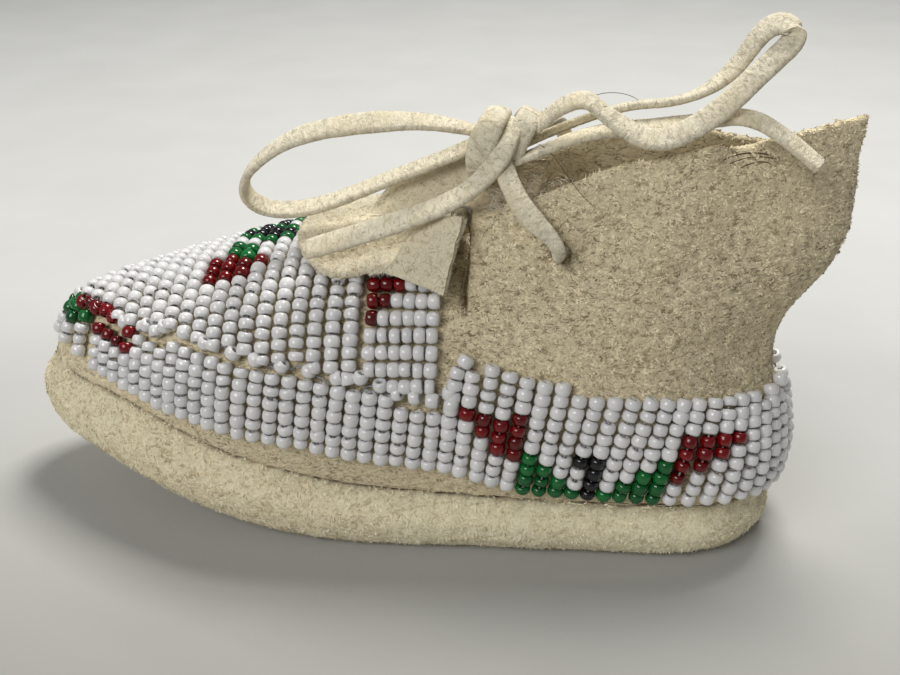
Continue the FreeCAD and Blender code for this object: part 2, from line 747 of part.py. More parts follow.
pieces = [add_piece("sole", make_sole()),
          add_piece("upper", make_upper()),
          add_tongue(),
          add_piece("sole_seam_thread", make_sole_thread()),
          add_back_stitches(),
          add_tongue_stitches(),
          add_knot()]
for name, points in THONGS.items():
    pieces.append(add_piece(name, thong(name, points)))
for (area, colour), beads in sorted(groups.items()):
    pieces.append(add_piece("%s_beads_%s" % (area, colour), Part.makeCompound(beads)))
    print(area, colour, len(beads))
for area, threads in sorted(strings.items()):
    pieces.append(add_piece("%s_thread" % area, Part.makeCompound(threads)))

doc.recompute()
for piece in pieces:
    problems = [state for state in piece.State if state in ("Invalid", "Error")]
    if problems or piece.Shape.isNull() or not piece.Shape.isValid() or piece.Shape.Volume <= 0:
        raise ValueError("bad shape: %s %s" % (piece.Label, problems))
    piece.Shape.exportStep("parts/%s.step" % piece.Label)
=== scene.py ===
"""Looks for a child's beaded hide moccasin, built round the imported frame."""
import math

import bpy
import numpy as np
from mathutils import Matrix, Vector, noise
from mathutils.bvhtree import BVHTree
from mathutils.kdtree import KDTree


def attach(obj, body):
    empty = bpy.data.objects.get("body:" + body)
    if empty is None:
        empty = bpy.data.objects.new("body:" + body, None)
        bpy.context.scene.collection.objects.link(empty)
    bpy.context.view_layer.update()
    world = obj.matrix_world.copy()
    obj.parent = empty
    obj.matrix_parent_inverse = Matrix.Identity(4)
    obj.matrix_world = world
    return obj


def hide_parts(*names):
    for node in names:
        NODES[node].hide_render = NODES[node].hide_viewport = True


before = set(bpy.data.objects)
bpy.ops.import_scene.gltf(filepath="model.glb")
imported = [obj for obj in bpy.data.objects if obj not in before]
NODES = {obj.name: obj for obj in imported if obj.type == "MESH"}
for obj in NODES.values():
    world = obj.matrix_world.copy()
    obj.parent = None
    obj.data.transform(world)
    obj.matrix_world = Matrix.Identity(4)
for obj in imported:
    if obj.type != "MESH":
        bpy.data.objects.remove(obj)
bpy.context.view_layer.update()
MM = 0.001
SHOE = "moccasin"
FLAP = "tongue_flap"
rng = np.random.default_rng(23)


# ------------ camera, light and floor

CAMERA_LOOK = Vector((5.6, -4.5, 28.0)) * MM
CAMERA_DISTANCE = 157.5 * MM
CAMERA_AZIMUTH = math.radians(8)
CAMERA_ELEVATION = math.radians(27)
SENSOR_WIDTH_MM = 36
LENS_MM = 43.8
LIGHT_TARGET = Vector((0, 0, 0.02))


def aim(thing, target):
    """Turns a camera or light so that it looks at the target."""
    thing.rotation_mode = "QUATERNION"
    thing.rotation_quaternion = (target - thing.location).to_track_quat("-Z", "Y")


def make_camera():
    camera = bpy.data.objects.new("camera", bpy.data.cameras.new("camera"))
    bpy.context.scene.collection.objects.link(camera)
    level = math.cos(CAMERA_ELEVATION)
    back = Vector((math.sin(CAMERA_AZIMUTH) * level, -math.cos(CAMERA_AZIMUTH) * level,
                   math.sin(CAMERA_ELEVATION)))
    camera.location = CAMERA_LOOK + back * CAMERA_DISTANCE
    aim(camera, CAMERA_LOOK)
    camera.data.sensor_width = SENSOR_WIDTH_MM
    camera.data.lens = LENS_MM
    camera.data.clip_start = 0.01
    bpy.context.scene.camera = camera


def area_light(name, place, size, watts, colour):
    light = bpy.data.lights.new(name, "AREA")
    light.shape = "RECTANGLE"
    light.size, light.size_y = size
    light.energy = watts
    light.color = colour
    lamp = bpy.data.objects.new(name, light)
    bpy.context.scene.collection.objects.link(lamp)
    lamp.location = place
    aim(lamp, LIGHT_TARGET)


def make_light():
    area_light("ceiling_light", (0.10, 0.22, 0.62), (0.25, 0.20), 3.9, (1.0, 0.985, 0.95))
    area_light("front_fill", (-0.35, -0.62, 0.55), (0.5, 0.4), 3.8, (1.0, 0.99, 0.985))
    world = bpy.data.worlds.new("studio")
    world.use_nodes = True
    sky = world.node_tree.nodes["Background"]
    sky.inputs["Color"].default_value = (0.93, 0.96, 1.0, 1)
    sky.inputs["Strength"].default_value = 0.16
    bpy.context.scene.world = world
    bpy.context.scene.view_settings.view_transform = "Standard"


# ------------ material building

class Shader:
    """A material's node tree with short calls for adding nodes to it."""

    def __init__(self, name):
        self.material = bpy.data.materials.new(name)
        self.material.use_nodes = True
        self.tree = self.material.node_tree
        self.surface = self.tree.nodes["Principled BSDF"]
        self.place = self.tree.nodes.new("ShaderNodeTexCoord").outputs["Object"]

    def add(self, kind, settings=(), **inputs):
        node = self.tree.nodes.new("ShaderNode" + kind)
        for key, value in dict(settings).items():
            setattr(node, key, value)
        for key, value in inputs.items():
            self.feed(node.inputs[key.replace("_", " ")], value)
        return node

    def feed(self, socket, value):
        if isinstance(value, bpy.types.NodeSocket):
            self.tree.links.new(value, socket)
        elif isinstance(value, tuple):
            needs_alpha = len(value) == 3 and socket.type == "RGBA"
            socket.default_value = value + (1,) if needs_alpha else value
        else:
            socket.default_value = value

    def noise(self, size, detail=4.0, roughness=0.6, distortion=0.0, stretch=(1, 1, 1), place=None):
        """Noise whose lumps are about size metres across."""
        spot = self.add("Mapping", Scale=tuple(stretch))
        self.feed(spot.inputs["Vector"], place or self.place)
        node = self.add("TexNoise", Scale=1.0 / size, Detail=detail, Roughness=roughness,
                        Distortion=distortion, Vector=spot.outputs["Vector"])
        return node.outputs["Fac"]

    def ramp(self, factor, *stops):
        """Colour ramp through (position, colour) stops."""
        node = self.tree.nodes.new("ShaderNodeValToRGB")
        elements = node.color_ramp.elements
        while len(elements) < len(stops):
            elements.new(0.5)
        for element, (position, colour) in zip(elements, stops):
            element.position = position
            element.color = tuple(colour) + (1,) if len(colour) == 3 else colour
        self.feed(node.inputs["Fac"], factor)
        return node.outputs["Color"]

    def mix(self, factor, first, second):
        """Colour mix. Inputs 6 and 7 and output 2 are the node's colour sockets."""
        node = self.add("Mix", {"data_type": "RGBA"})
        self.feed(node.inputs["Factor"], factor)
        self.feed(node.inputs[6], first)
        self.feed(node.inputs[7], second)
        return node.outputs[2]

    def math(self, operation, first, second=0.0):
        node = self.add("Math", {"operation": operation})
        self.feed(node.inputs[0], first)
        self.feed(node.inputs[1], second)
        return node.outputs[0]

    def scaled(self, value, low, high, to_low, to_high):
        """The value's range from low to high, stretched and clamped to the range to_low to to_high."""
        node = self.add("MapRange", Value=value)
        ends = {"From Min": low, "From Max": high, "To Min": to_low, "To Max": to_high}
        for socket, number in ends.items():
            node.inputs[socket].default_value = number
        return node.outputs["Result"]

    def attribute(self, name):
        return self.add("Attribute", {"attribute_name": name}).outputs["Fac"]

    def bump(self, height, strength, distance, under=None):
        node = self.add("Bump", Strength=strength, Distance=distance, Height=height)
        if under is not None:
            self.feed(node.inputs["Normal"], under)
        return node.outputs["Normal"]

    def finish(self, **inputs):
        for key, value in inputs.items():
            self.feed(self.surface.inputs[key.replace("_", " ")], value)
        return self.material


def hide_material(name, pale, deep, stain_and_shade_colour, nap=0.0011, relief=0.00034, squash=1.9):
    """Napped brain-tan hide: curly nap with small dark pits, over broad cloudy patches."""
    shader = Shader(name)
    curl = shader.noise(nap, 4, 0.62, 1.3, (1, 1, squash))
    fine = shader.noise(nap * 0.34, 3, 0.6, 0.8, (1, 1, squash))
    cloud = shader.noise(0.009, 3, 0.55, 0.4)
    patch = shader.noise(0.028, 2, 0.5)
    middle = [a * 0.72 + b * 0.28 for a, b in zip(pale, deep)]
    colour = shader.ramp(curl, (0.36, deep), (0.45, middle), (0.60, pale))
    colour = shader.mix(shader.scaled(fine, 0.34, 0.46, 0.45, 0), colour, deep)
    warm = tuple(value * tint for value, tint in zip(pale, (0.90, 0.86, 0.78)))
    colour = shader.mix(shader.scaled(cloud, 0.42, 0.70, 0, 0.40), colour, warm)
    pale_patch = tuple(min(1, value * 1.07) for value in pale)
    colour = shader.mix(shader.scaled(patch, 0.45, 0.65, 0, 0.35), colour, pale_patch)
    # Painted shade in creases, slits and round holes, and real dark specks, mixed in from the vertex
    # attribute.
    colour = shader.mix(shader.attribute("stain"), colour, stain_and_shade_colour)
    height = shader.math("ADD", curl, shader.math("MULTIPLY", fine, 0.35))
    normal = shader.bump(height, 1.0, relief)
    normal = shader.bump(cloud, 0.35, 0.0006, normal)
    shader.finish(Base_Color=colour, Roughness=0.93, Normal=normal, Specular_IOR_Level=0.15,
                  Sheen_Weight=0.15, Sheen_Roughness=0.55)
    shader.surface.inputs["Sheen Tint"].default_value = (1.0, 0.96, 0.86, 1)
    return shader.material


def nap_material(name, pale, deep):
    """Loose fibres, each one its own tone between deep and pale."""
    shader = Shader(name)
    fine = shader.noise(0.0004, 2, 0.5)
    tone = shader.math("ADD", shader.attribute("tone"), shader.scaled(fine, 0.3, 0.7, -0.12, 0.12))
    middle = [a * 0.6 + b * 0.4 for a, b in zip(pale, deep)]
    colour = shader.ramp(tone, (0.0, deep), (0.45, middle), (0.9, pale))
    return shader.finish(Base_Color=colour, Roughness=0.9, Specular_IOR_Level=0.12, Sheen_Weight=0.15)


def thong_material(name, pale, deep):
    """Hand-cut thong: fine cross wrinkles and dark specks on a napped strip."""
    shader = Shader(name)
    flat_place = shader.add("UVMap", {"uv_map": "strip"}).outputs["UV"]
    curl = shader.noise(0.0007, 4, 0.65, 1.0)
    cross = shader.noise(0.0011, 4, 0.65, 0.9, (1.5, 0.9, 1), flat_place)
    speck = shader.noise(0.00042, 3, 0.7, 0.4, (1.4, 0.8, 1), flat_place)
    cloud = shader.noise(0.006, 3, 0.5)
    shade = [a * 0.55 + b * 0.45 for a, b in zip(pale, deep)]
    colour = shader.ramp(cross, (0.34, shade), (0.52, pale))
    colour = shader.mix(shader.scaled(curl, 0.34, 0.46, 0.5, 0), colour, tuple(shade))
    colour = shader.mix(shader.scaled(speck, 0.60, 0.68, 0, 0.75), colour, deep)
    warm = tuple(value * tint for value, tint in zip(pale, (0.92, 0.86, 0.74)))
    colour = shader.mix(shader.scaled(cloud, 0.45, 0.68, 0, 0.55), colour, warm)
    colour = shader.mix(shader.attribute("stain"), colour, tuple(value * 0.8 for value in deep))
    normal = shader.bump(curl, 0.9, 0.00016)
    normal = shader.bump(cross, 0.9, 0.00042, normal)
    shader.finish(Base_Color=colour, Roughness=0.86, Normal=normal, Specular_IOR_Level=0.25,
                  Sheen_Weight=0.15, Sheen_Roughness=0.5)
    return shader.material


def bead_material(name, first, second, milky=0.0, coat=0.12):
    """Glossy glass. Each bead has its own tone, with slight ripples left by the drawn cane."""
    shader = Shader(name)
    ripple = shader.noise(0.0011, 2, 0.5, 0.3)
    dust = shader.noise(0.00045, 3, 0.6)
    tone = shader.attribute("tone")
    colour = shader.mix(tone, first, second)
    dim = tuple(value * 0.80 for value in second)
    colour = shader.mix(shader.scaled(dust, 0.62, 0.80, 0, 0.30), colour, dim)
    # Painted shade: the inside of each bead's bore is darkened.
    colour = shader.mix(shader.attribute("stain"), colour, tuple(value * 0.33 for value in second))
    rough = shader.scaled(dust, 0.35, 0.75, 0.10, 0.26)
    normal = shader.bump(ripple, 0.25, 0.00008)
    shader.finish(Base_Color=colour, Roughness=rough, Normal=normal, Specular_IOR_Level=0.55,
                  Coat_Weight=coat, Coat_Roughness=0.05,
                  Subsurface_Weight=milky, Subsurface_Scale=0.0006)
    shader.surface.inputs["Subsurface Radius"].default_value = (1.0, 0.95, 0.9)
    return shader.material


def thread_material(name, light, dark, shine=0.25):
    """Twisted thread or sinew with strands running along it."""
    shader = Shader(name)
    strand = shader.noise(0.00018, 3, 0.6)
    wear = shader.noise(0.002, 3, 0.5)
    colour = shader.ramp(strand, (0.32, dark), (0.66, light))
    colour = shader.mix(shader.scaled(wear, 0.5, 0.7, 0, 0.4), colour, dark)
    return shader.finish(Base_Color=colour, Roughness=0.55, Specular_IOR_Level=shine,
                         Normal=shader.bump(strand, 0.7, 0.00005))


PALE_UPPER = (0.92, 0.80, 0.55)
DEEP_UPPER = (0.25, 0.20, 0.115)
PALE_SOLE = (1.0, 0.90, 0.645)
DEEP_SOLE = (0.55, 0.45, 0.27)
PALE_THONG = (0.88, 0.81, 0.62)
DEEP_THONG = (0.22, 0.16, 0.085)
# Dark colour for painted shade in creases and hollows, and for real dark specks.
STAIN_AND_SHADE = (0.075, 0.045, 0.022)

LOOKS = {
    "upper_hide": hide_material("upper_hide_nap", PALE_UPPER, DEEP_UPPER, STAIN_AND_SHADE),
    "sole_hide": hide_material("sole_hide_nap", PALE_SOLE, DEEP_SOLE, STAIN_AND_SHADE, 0.0012, 0.00036, 1.3),
    "tongue_hide": hide_material("tongue_hide_nap", (0.86, 0.79, 0.60), (0.44, 0.36, 0.22), STAIN_AND_SHADE,
                                 0.0007, 0.00022, 1.0),
    "thong_hide": thong_material("thong_hide_cut", PALE_THONG, DEEP_THONG),
    "upper_fibre": nap_material("upper_fibres", (0.98, 0.865, 0.60), (0.34, 0.27, 0.155)),
    "sole_fibre": nap_material("sole_fibres", (1.0, 0.94, 0.70), (0.60, 0.49, 0.30)),
    "pale_fibre": nap_material("pale_fibres", (0.95, 0.91, 0.79), (0.62, 0.53, 0.38)),
    "dark_hair": nap_material("dark_hairs", (0.20, 0.15, 0.10), (0.05, 0.035, 0.022)),
    "bead_white": bead_material("white_glass", (0.82, 0.81, 0.80), (0.73, 0.725, 0.72), 0.10, 0.3),
    "bead_red": bead_material("red_glass", (0.20, 0.002, 0.004), (0.075, 0.0006, 0.0015)),
    "bead_green": bead_material("green_glass", (0.004, 0.16, 0.03), (0.002, 0.065, 0.014)),
    "bead_black": bead_material("black_glass", (0.007, 0.007, 0.009), (0.002, 0.002, 0.003)),
    "bead_thread": thread_material("beading_thread", (0.60, 0.58, 0.53), (0.30, 0.27, 0.22)),
    "sinew": thread_material("dark_sinew", (0.20, 0.135, 0.075), (0.05, 0.032, 0.018)),
    "loose_thread": thread_material("glossy_thread", (0.42, 0.45, 0.47), (0.16, 0.17, 0.18), 0.7),
    "black_thread": thread_material("black_thread", (0.03, 0.03, 0.032), (0.008, 0.008, 0.008)),
}


FLOOR_HALF_WIDTH = 1.6


def make_floor():
    """A pale tabletop with a faint tooth and painted shade darkening it towards the front."""
    half = FLOOR_HALF_WIDTH
    mesh = bpy.data.meshes.new("floor")
    corners = [(-half, -half, 0), (half, -half, 0), (half, half, 0), (-half, half, 0)]
    mesh.from_pydata(corners, [], [(0, 1, 2, 3)])
    floor = bpy.data.objects.new("floor", mesh)
    bpy.context.scene.collection.objects.link(floor)
    shader = Shader("pale_tabletop")
    mottle = shader.noise(0.03, 4, 0.5)
    tooth = shader.noise(0.0012, 3, 0.6)
    depth = shader.add("SeparateXYZ", Vector=shader.place).outputs["Y"]
    colour = shader.ramp(mottle, (0.3, (0.63, 0.63, 0.61)), (0.7, (0.665, 0.665, 0.645)))
    # Painted shade: the tabletop darkens towards the front, where less light reaches it.
    colour = shader.mix(shader.scaled(depth, -0.08, 0.06, 1.0, 0), colour, (0.28, 0.275, 0.25))
    shader.finish(Base_Color=colour, Roughness=0.8, Normal=shader.bump(tooth, 0.15, 0.0002))
    mesh.materials.append(shader.material)


# ------------ mesh building

def add_piece(name, vertices, faces, look, slot, body=SHOE, replaces=(), smooth=True, **attributes):
    """A mesh object from arrays, riding on its body. Extra keywords become vertex attributes."""
    mesh = bpy.data.meshes.new(name)
    mesh.from_pydata(np.asarray(vertices).tolist(), [], faces)
    for key, values in attributes.items():
        store(mesh, key, values)
    return place_mesh(name, mesh, look, body, replaces, smooth)


def place_mesh(name, mesh, look, body, replaces, smooth=True):
    """An object made of a finished mesh, riding on its body."""
    mesh.name = name
    mesh.polygons.foreach_set("use_smooth", [smooth] * len(mesh.polygons))
    mesh.materials.append(LOOKS[look])
    piece = bpy.data.objects.new(name, mesh)
    bpy.context.scene.collection.objects.link(piece)
    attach(piece, body)
    if replaces:
        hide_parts(*replaces)
    return piece


def store(mesh, key, values):
    """Numbers kept at a mesh's vertices, for its material to read."""
    layer = mesh.attributes.new(key, "FLOAT", "POINT")
    layer.data.foreach_set("value", np.asarray(values, np.float32))


def points_of(mesh):
    flat = np.empty(len(mesh.vertices) * 3, np.float32)
    mesh.vertices.foreach_get("co", flat)
    return flat.reshape(-1, 3).astype(float)


def normals_of(mesh):
    return np.array([vertex.normal[:] for vertex in mesh.vertices])


def put_points(mesh, points):
    mesh.vertices.foreach_set("co", np.asarray(points, np.float32).ravel())
    mesh.update()


def noise_at(points, size, seed=0.0):
    """Smooth noise from -1 to 1 at each point, its lumps about size metres across."""
    scaled = points / size + seed
    return np.array([noise.noise(point) for point in scaled.tolist()])


def tree_of(points):
    tree = KDTree(len(points))
    for index, point in enumerate(points):
        tree.insert(point, index)
    tree.balance()
    return tree


def distances_to(tree, points):
    return np.array([tree.find(point)[2] for point in points.tolist()])


def remeshed(node, voxel, smoothing):
    """A copy of a CAD node's mesh in small even faces."""
    mesh = NODES[node].data.copy()
    work = bpy.data.objects.new("work", mesh)
    bpy.context.scene.collection.objects.link(work)
    weld = work.modifiers.new("weld", "WELD")
    weld.merge_threshold = 0.002 * MM
    remesh = work.modifiers.new("remesh", "REMESH")
    remesh.mode = "VOXEL"
    remesh.voxel_size = voxel * MM
    relax = work.modifiers.new("relax", "SMOOTH")
    relax.factor = 0.5
    relax.iterations = smoothing
    graph = bpy.context.evaluated_depsgraph_get()
    even = bpy.data.meshes.new_from_object(work.evaluated_get(graph))
    bpy.data.objects.remove(work)
    bpy.data.meshes.remove(mesh)
    for name in [layer.name for layer in even.attributes if not layer.name.startswith((".", "position"))]:
        if name in even.attributes and not even.attributes[name].is_required:
            even.attributes.remove(even.attributes[name])
    even.materials.clear()
    return even


def push(points, centre, radius, move):
    """How far a soft local push, fading with distance from its centre, shifts each point."""
    gap = np.linalg.norm(points - np.array(centre) * MM, axis=1) / (radius * MM)
    return np.exp(-gap ** 2)[:, None] * np.array(move) * MM


# ------------ nap: short loose fibres

def triangle_table(mesh):
    """Corners and area of each triangle of a mesh."""
    mesh.calc_loop_triangles()
    index = np.empty(len(mesh.loop_triangles) * 3, np.int64)
    mesh.loop_triangles.foreach_get("vertices", index)
    corners = points_of(mesh)[index.reshape(-1, 3)]
    cross = np.cross(corners[:, 1] - corners[:, 0], corners[:, 2] - corners[:, 0])
    area = np.linalg.norm(cross, axis=1) / 2
    normal = cross / np.maximum(area[:, None] * 2, 1e-15)
    return corners, area, normal


def unit(vectors):
    return vectors / np.maximum(np.linalg.norm(vectors, axis=-1, keepdims=True), 1e-12)


def grow_nap(name, mesh, count, length, width, look, slot, body=SHOE, rise=0.45, density=None, bare=None,
             lay=(0, 0, 0)):
    """Curled tapering fibres over a surface. The density rule weighs the surface, bare hides spots."""
    corners, area, normal = triangle_table(mesh)
    weight = area.copy()
    if density is not None:
        weight *= density(corners.mean(axis=1), normal)
    pick = rng.choice(len(area), count, p=weight / weight.sum())
    a, b = rng.random(count), rng.random(count)
    over = a + b > 1
    a[over], b[over] = 1 - a[over], 1 - b[over]
    tri = corners[pick]
    root = tri[:, 0] + (tri[:, 1] - tri[:, 0]) * a[:, None] + (tri[:, 2] - tri[:, 0]) * b[:, None]
    up = normal[pick]
    if bare is not None:
        keep = ~bare(root)
        root, up = root[keep], up[keep]
    count = len(root)
    swirl = np.stack([noise_at(root, 0.0022, seed) for seed in (3.1, 17.3, 41.7)], axis=1) * 1.5
    lean = swirl + rng.normal(0, 0.45, (count, 3)) + np.array(lay)
    lean = unit(lean - up * (lean * up).sum(axis=1, keepdims=True))
    turn = unit(np.cross(up, lean)) * rng.normal(0, 0.8, (count, 1))
    long = length * MM * rng.uniform(0.45, 1.35, (count, 1))
    lift = rise * rng.uniform(0.3, 1.7, (count, 1))
    middle = root + (lean + up * lift * 1.3) * long * 0.5
    tip = middle + (lean + turn + up * lift * 0.5) * long * 0.5
    side = unit(np.cross(lean, up)) * width * MM * rng.uniform(0.6, 1.3, (count, 1)) / 2
    root = root - up * 0.05 * MM
    vertices = np.stack([root - side, root + side, middle + side * 0.8, middle - side * 0.8, tip], axis=1)
    vertices[..., 2] = np.maximum(vertices[..., 2], 0.0)
    base = np.arange(count)[:, None] * 5
    quads = (base + np.array([0, 1, 2, 3])).tolist()
    tips = (base + np.array([3, 2, 4])).tolist()
    grain = noise_at(root * np.array([1, 1, 1.8]), 0.0011, 2.0)
    tone = np.repeat(np.clip(0.60 + 1.1 * grain + rng.normal(0, 0.10, count), 0, 1), 5)
    add_piece(name, vertices.reshape(-1, 3), quads + tips, look, slot, body, smooth=False, tone=tone)


# ------------ beads

def islands(node):
    """The point sets of a CAD node's separate solids."""
    mesh = NODES[node].data
    grid = np.round(points_of(mesh) / (0.001 * MM)).astype(np.int64)
    keys, welded = np.unique(grid, axis=0, return_inverse=True)
    welded = welded.ravel()
    edges = np.empty(len(mesh.edges) * 2, np.int64)
    mesh.edges.foreach_get("vertices", edges)
    edges = welded[edges].reshape(-1, 2)
    label = np.arange(len(keys))
    while True:
        before = label.copy()
        least = np.minimum(label[edges[:, 0]], label[edges[:, 1]])
        np.minimum.at(label, edges[:, 0], least)
        np.minimum.at(label, edges[:, 1], least)
        label = label[label]
        if (label == before).all():
            break
    order = np.argsort(label, kind="stable")
    starts = np.flatnonzero(np.r_[True, np.diff(label[order]) > 0])
    return np.split(keys[order] * 0.001 * MM, starts[1:])


def bead_spots(node):
    """Centre and bore direction of each bead of a CAD node."""
    spots = []
    for cloud in islands(node):
        middle = (cloud.min(axis=0) + cloud.max(axis=0)) / 2
        centre = cloud.mean(axis=0) * 0.5 + middle * 0.5
        offset = cloud - centre
        reach = np.linalg.norm(offset, axis=1)
        bore = offset[reach < reach.min() + 0.06 * MM]
        vectors = np.linalg.eigh(bore.T @ bore)[1]
        spots.append((centre, vectors[:, 2]))
    return spots


BEAD_RINGS = 10
BEAD_SIDES = 16


def bead_profile():
    """Section of a bead: distance from the bore's axis, and along it."""
    turn = np.linspace(0, 2 * math.pi, BEAD_RINGS, endpoint=False) + 0.2
    out = np.sign(np.cos(turn)) * np.abs(np.cos(turn)) ** 0.95
    along = np.sign(np.sin(turn)) * np.abs(np.sin(turn)) ** 0.92
    return 0.68 + 0.40 * out, 0.80 * along


def bead_cloud(name, spots, colour, replaces):
    """One piece holding a glass bead at each (centre, bore direction), each a little different."""
    radius, height = bead_profile()
    around = np.linspace(0, 2 * math.pi, BEAD_SIDES, endpoint=False)
    clouds, tones = [], []
    for centre, axis in spots:
        tilt = Vector(axis) + Vector(rng.normal(0, 0.075, 3))
        turn = np.array(tilt.to_track_quat("Z", "Y").to_matrix())
        wide = np.clip(rng.normal(1.0, 0.035), 0.91, 1.06)
        tall = np.clip(rng.normal(1.0, 0.09), 0.78, 1.12)
        lop = rng.normal(0, 0.07)
        oval = rng.normal(0, 0.02)
        spin = around + rng.uniform(0, 2 * math.pi)
        ring = np.empty((BEAD_RINGS, BEAD_SIDES, 3))
        ring[..., 0] = radius[:, None] * np.cos(spin) * wide * (1 + oval)
        ring[..., 1] = radius[:, None] * np.sin(spin) * wide * (1 - oval)
        ring[..., 2] = height[:, None] * tall * (1 + lop * np.cos(spin))
        shift = rng.normal(0, 0.035, 3) * MM
        clouds.append(ring.reshape(-1, 3) @ turn.T * MM + centre + shift)
        tones.append(np.full(BEAD_RINGS * BEAD_SIDES, np.clip(rng.beta(1.6, 2.2), 0, 1)))
    step = np.arange(BEAD_RINGS)[:, None]
    place = np.arange(BEAD_SIDES)[None, :]
    one = step * BEAD_SIDES + place
    beside = step * BEAD_SIDES + (place + 1) % BEAD_SIDES
    up = (step + 1) % BEAD_RINGS * BEAD_SIDES
    quads = np.stack([one, beside, up + (place + 1) % BEAD_SIDES, up + place], axis=-1).reshape(-1, 4)
    size = BEAD_RINGS * BEAD_SIDES
    faces = (quads[None] + np.arange(len(spots))[:, None, None] * size).reshape(-1, 4)
    # Painted shade inside each bead's bore.
    bore = np.tile(np.repeat(np.clip((0.40 - radius) / 0.12, 0, 1), BEAD_SIDES), len(spots))
    look = "bead_" + colour
    add_piece(name, np.concatenate(clouds), faces.tolist(), look, look, SHOE, replaces,
              tone=np.concatenate(tones), stain=bore)


def make_beads(area, colour):
    """Glass beads at the CAD beads' places, the near half and the far half as two pieces."""
    node = "%s_beads_%s" % (area, colour)
    sides = {"near": [], "far": []}
    for centre, axis in bead_spots(node):
        sides["near" if centre[1] < 0.0002 else "far"].append((centre, axis))
    for side, spots in sides.items():
        if spots:
            bead_cloud("%s_%s" % (node, side), spots, colour, [node])


# ------------ hides

def all_bead_centres():
    """Centres of the CAD's beads, where no nap may grow."""
    centres = []
    for node in NODES:
        if "_beads_" in node:
            centres += [spot[0] for spot in bead_spots(node)]
    return np.array(centres)


SEAM = tree_of(points_of(NODES["sole_seam_thread"].data)[::3])
BEADS = tree_of(all_bead_centres())


def seam_crease_shade(points, reach=0.55):
    """Painted shade darkening the crease between sole and upper, in patches."""
    gap = distances_to(SEAM, points) / (reach * MM)
    patchy = 0.75 + 0.5 * noise_at(points, 0.0021)
    return np.clip(np.exp(-gap ** 2) * patchy, 0, 1)


# Dents and swells of the soft upper: centre, radius and move, in millimetres.
UPPER_PUSHES = [
    ((21.0, -13.8, 44.8), 2.6, (0, 0.75, 0)), ((21.0, 13.8, 44.8), 2.6, (0, -0.75, 0)),
    ((28.5, -13.0, 49.5), 4.2, (0, 1.0, 0)), ((28.5, 13.0, 49.5), 4.2, (0, -1.0, 0)),
    ((35.0, -12.5, 47.0), 5.5, (0, -0.9, 0)), ((36.0, 12.5, 46.0), 6.0, (0, 0.7, 0)),
    ((24.5, -12.6, 51.0), 2.6, (0, -0.6, 0.1)), ((16.0, -15.0, 41.0), 5.0, (0, -0.5, 0)),
    ((47.0, -8.0, 30.0), 6.0, (0, 0.5, 0)), ((50.0, -6.0, 44.0), 5.0, (0, -0.6, 0)),
    ((31.0, -16.0, 30.0), 9.0, (0, -0.6, 0)), ((31.0, 16.0, 30.0), 9.0, (0, 0.6, 0)),
    ((27.0, -9.6, 54.5), 2.6, (0, -0.3, 0.6)), ((33.0, -9.2, 56.5), 2.6, (0, 0.3, -0.4)),
    ((39.0, -7.8, 58.2), 2.2, (0, -0.8, 0.9)), ((43.0, -6.3, 59.0), 2.4, (0, 0.4, -0.6)),
    ((49.0, -4.2, 60.0), 3.0, (0, -0.5, 0.2)), ((58.5, 0.0, 61.2), 2.6, (0.3, 0, 0.4)),
    ((30.0, 9.4, 55.5), 3.2, (0, 0.4, 0.5)), ((41.0, 7.0, 58.5), 3.2, (0, 0.5, -0.5)),
    ((-30.0, 0.0, 36.0), 9.0, (0, 0, -0.15)),
]

# Small dark specks on the near quarter: x, z and size.
SPECKS = [(48.6, 40.8, 0.55), (43.9, 40.2, 0.5), (35.8, 41.5, 0.4), (15.8, 39.5, 0.4)]

THONG_HOLES = [(21.0, -13.6, 44.8), (21.0, 13.6, 44.8)]
THROAT_SLIT_X = 8.7


def make_upper():
    mesh = remeshed("upper", 0.46, 3)
    points = points_of(mesh)
    normal = normals_of(mesh)
    plain = np.clip((points[:, 0] / MM - 4) / 6, 0, 1)
    for centre, radius, move in UPPER_PUSHES:
        points += push(points, centre, radius, move)
    swell = noise_at(points, 0.011, 5.0) * 0.38 + noise_at(points, 0.0045, 9.0) * 0.16
    fine = noise_at(points, 0.0011) * 0.11 + noise_at(points, 0.0006, 30) * 0.05
    points += normal * (swell * plain + fine * (0.25 + 0.75 * plain))[:, None] * MM
    put_points(mesh, points)
    stain = seam_crease_shade(points, 0.5)
    # Painted shade in the throat slit.
    slit = np.abs(points[:, 0] / MM - THROAT_SLIT_X) < 0.62
    stain = np.maximum(stain, 0.55 * slit * (points[:, 2] > 36 * MM) * (points[:, 2] < 47 * MM))
    back = (points[:, 0] > 50 * MM) * np.exp(-(points[:, 1] / MM / 0.45) ** 2) * 0.6
    stain = np.maximum(stain, back * np.clip(0.5 + noise_at(points, 0.002, 2.0), 0, 1))
    # Painted shade in a ring round each thong hole.
    for hole in THONG_HOLES:
        gap = np.linalg.norm(points / MM - np.array(hole), axis=1)
        stain = np.maximum(stain, 0.8 * np.exp(-((gap - 1.3) / 0.75) ** 2))
    for speck_x, speck_z, size in SPECKS:
        gap = np.hypot(points[:, 0] / MM - speck_x, points[:, 2] / MM - speck_z) / size
        stain = np.maximum(stain, 0.85 * np.exp(-gap ** 2) * (points[:, 1] < 0))
    store(mesh, "stain", np.clip(stain, 0, 1))
    return place_mesh("upper_leather", mesh, "upper_hide", SHOE, ["upper"])


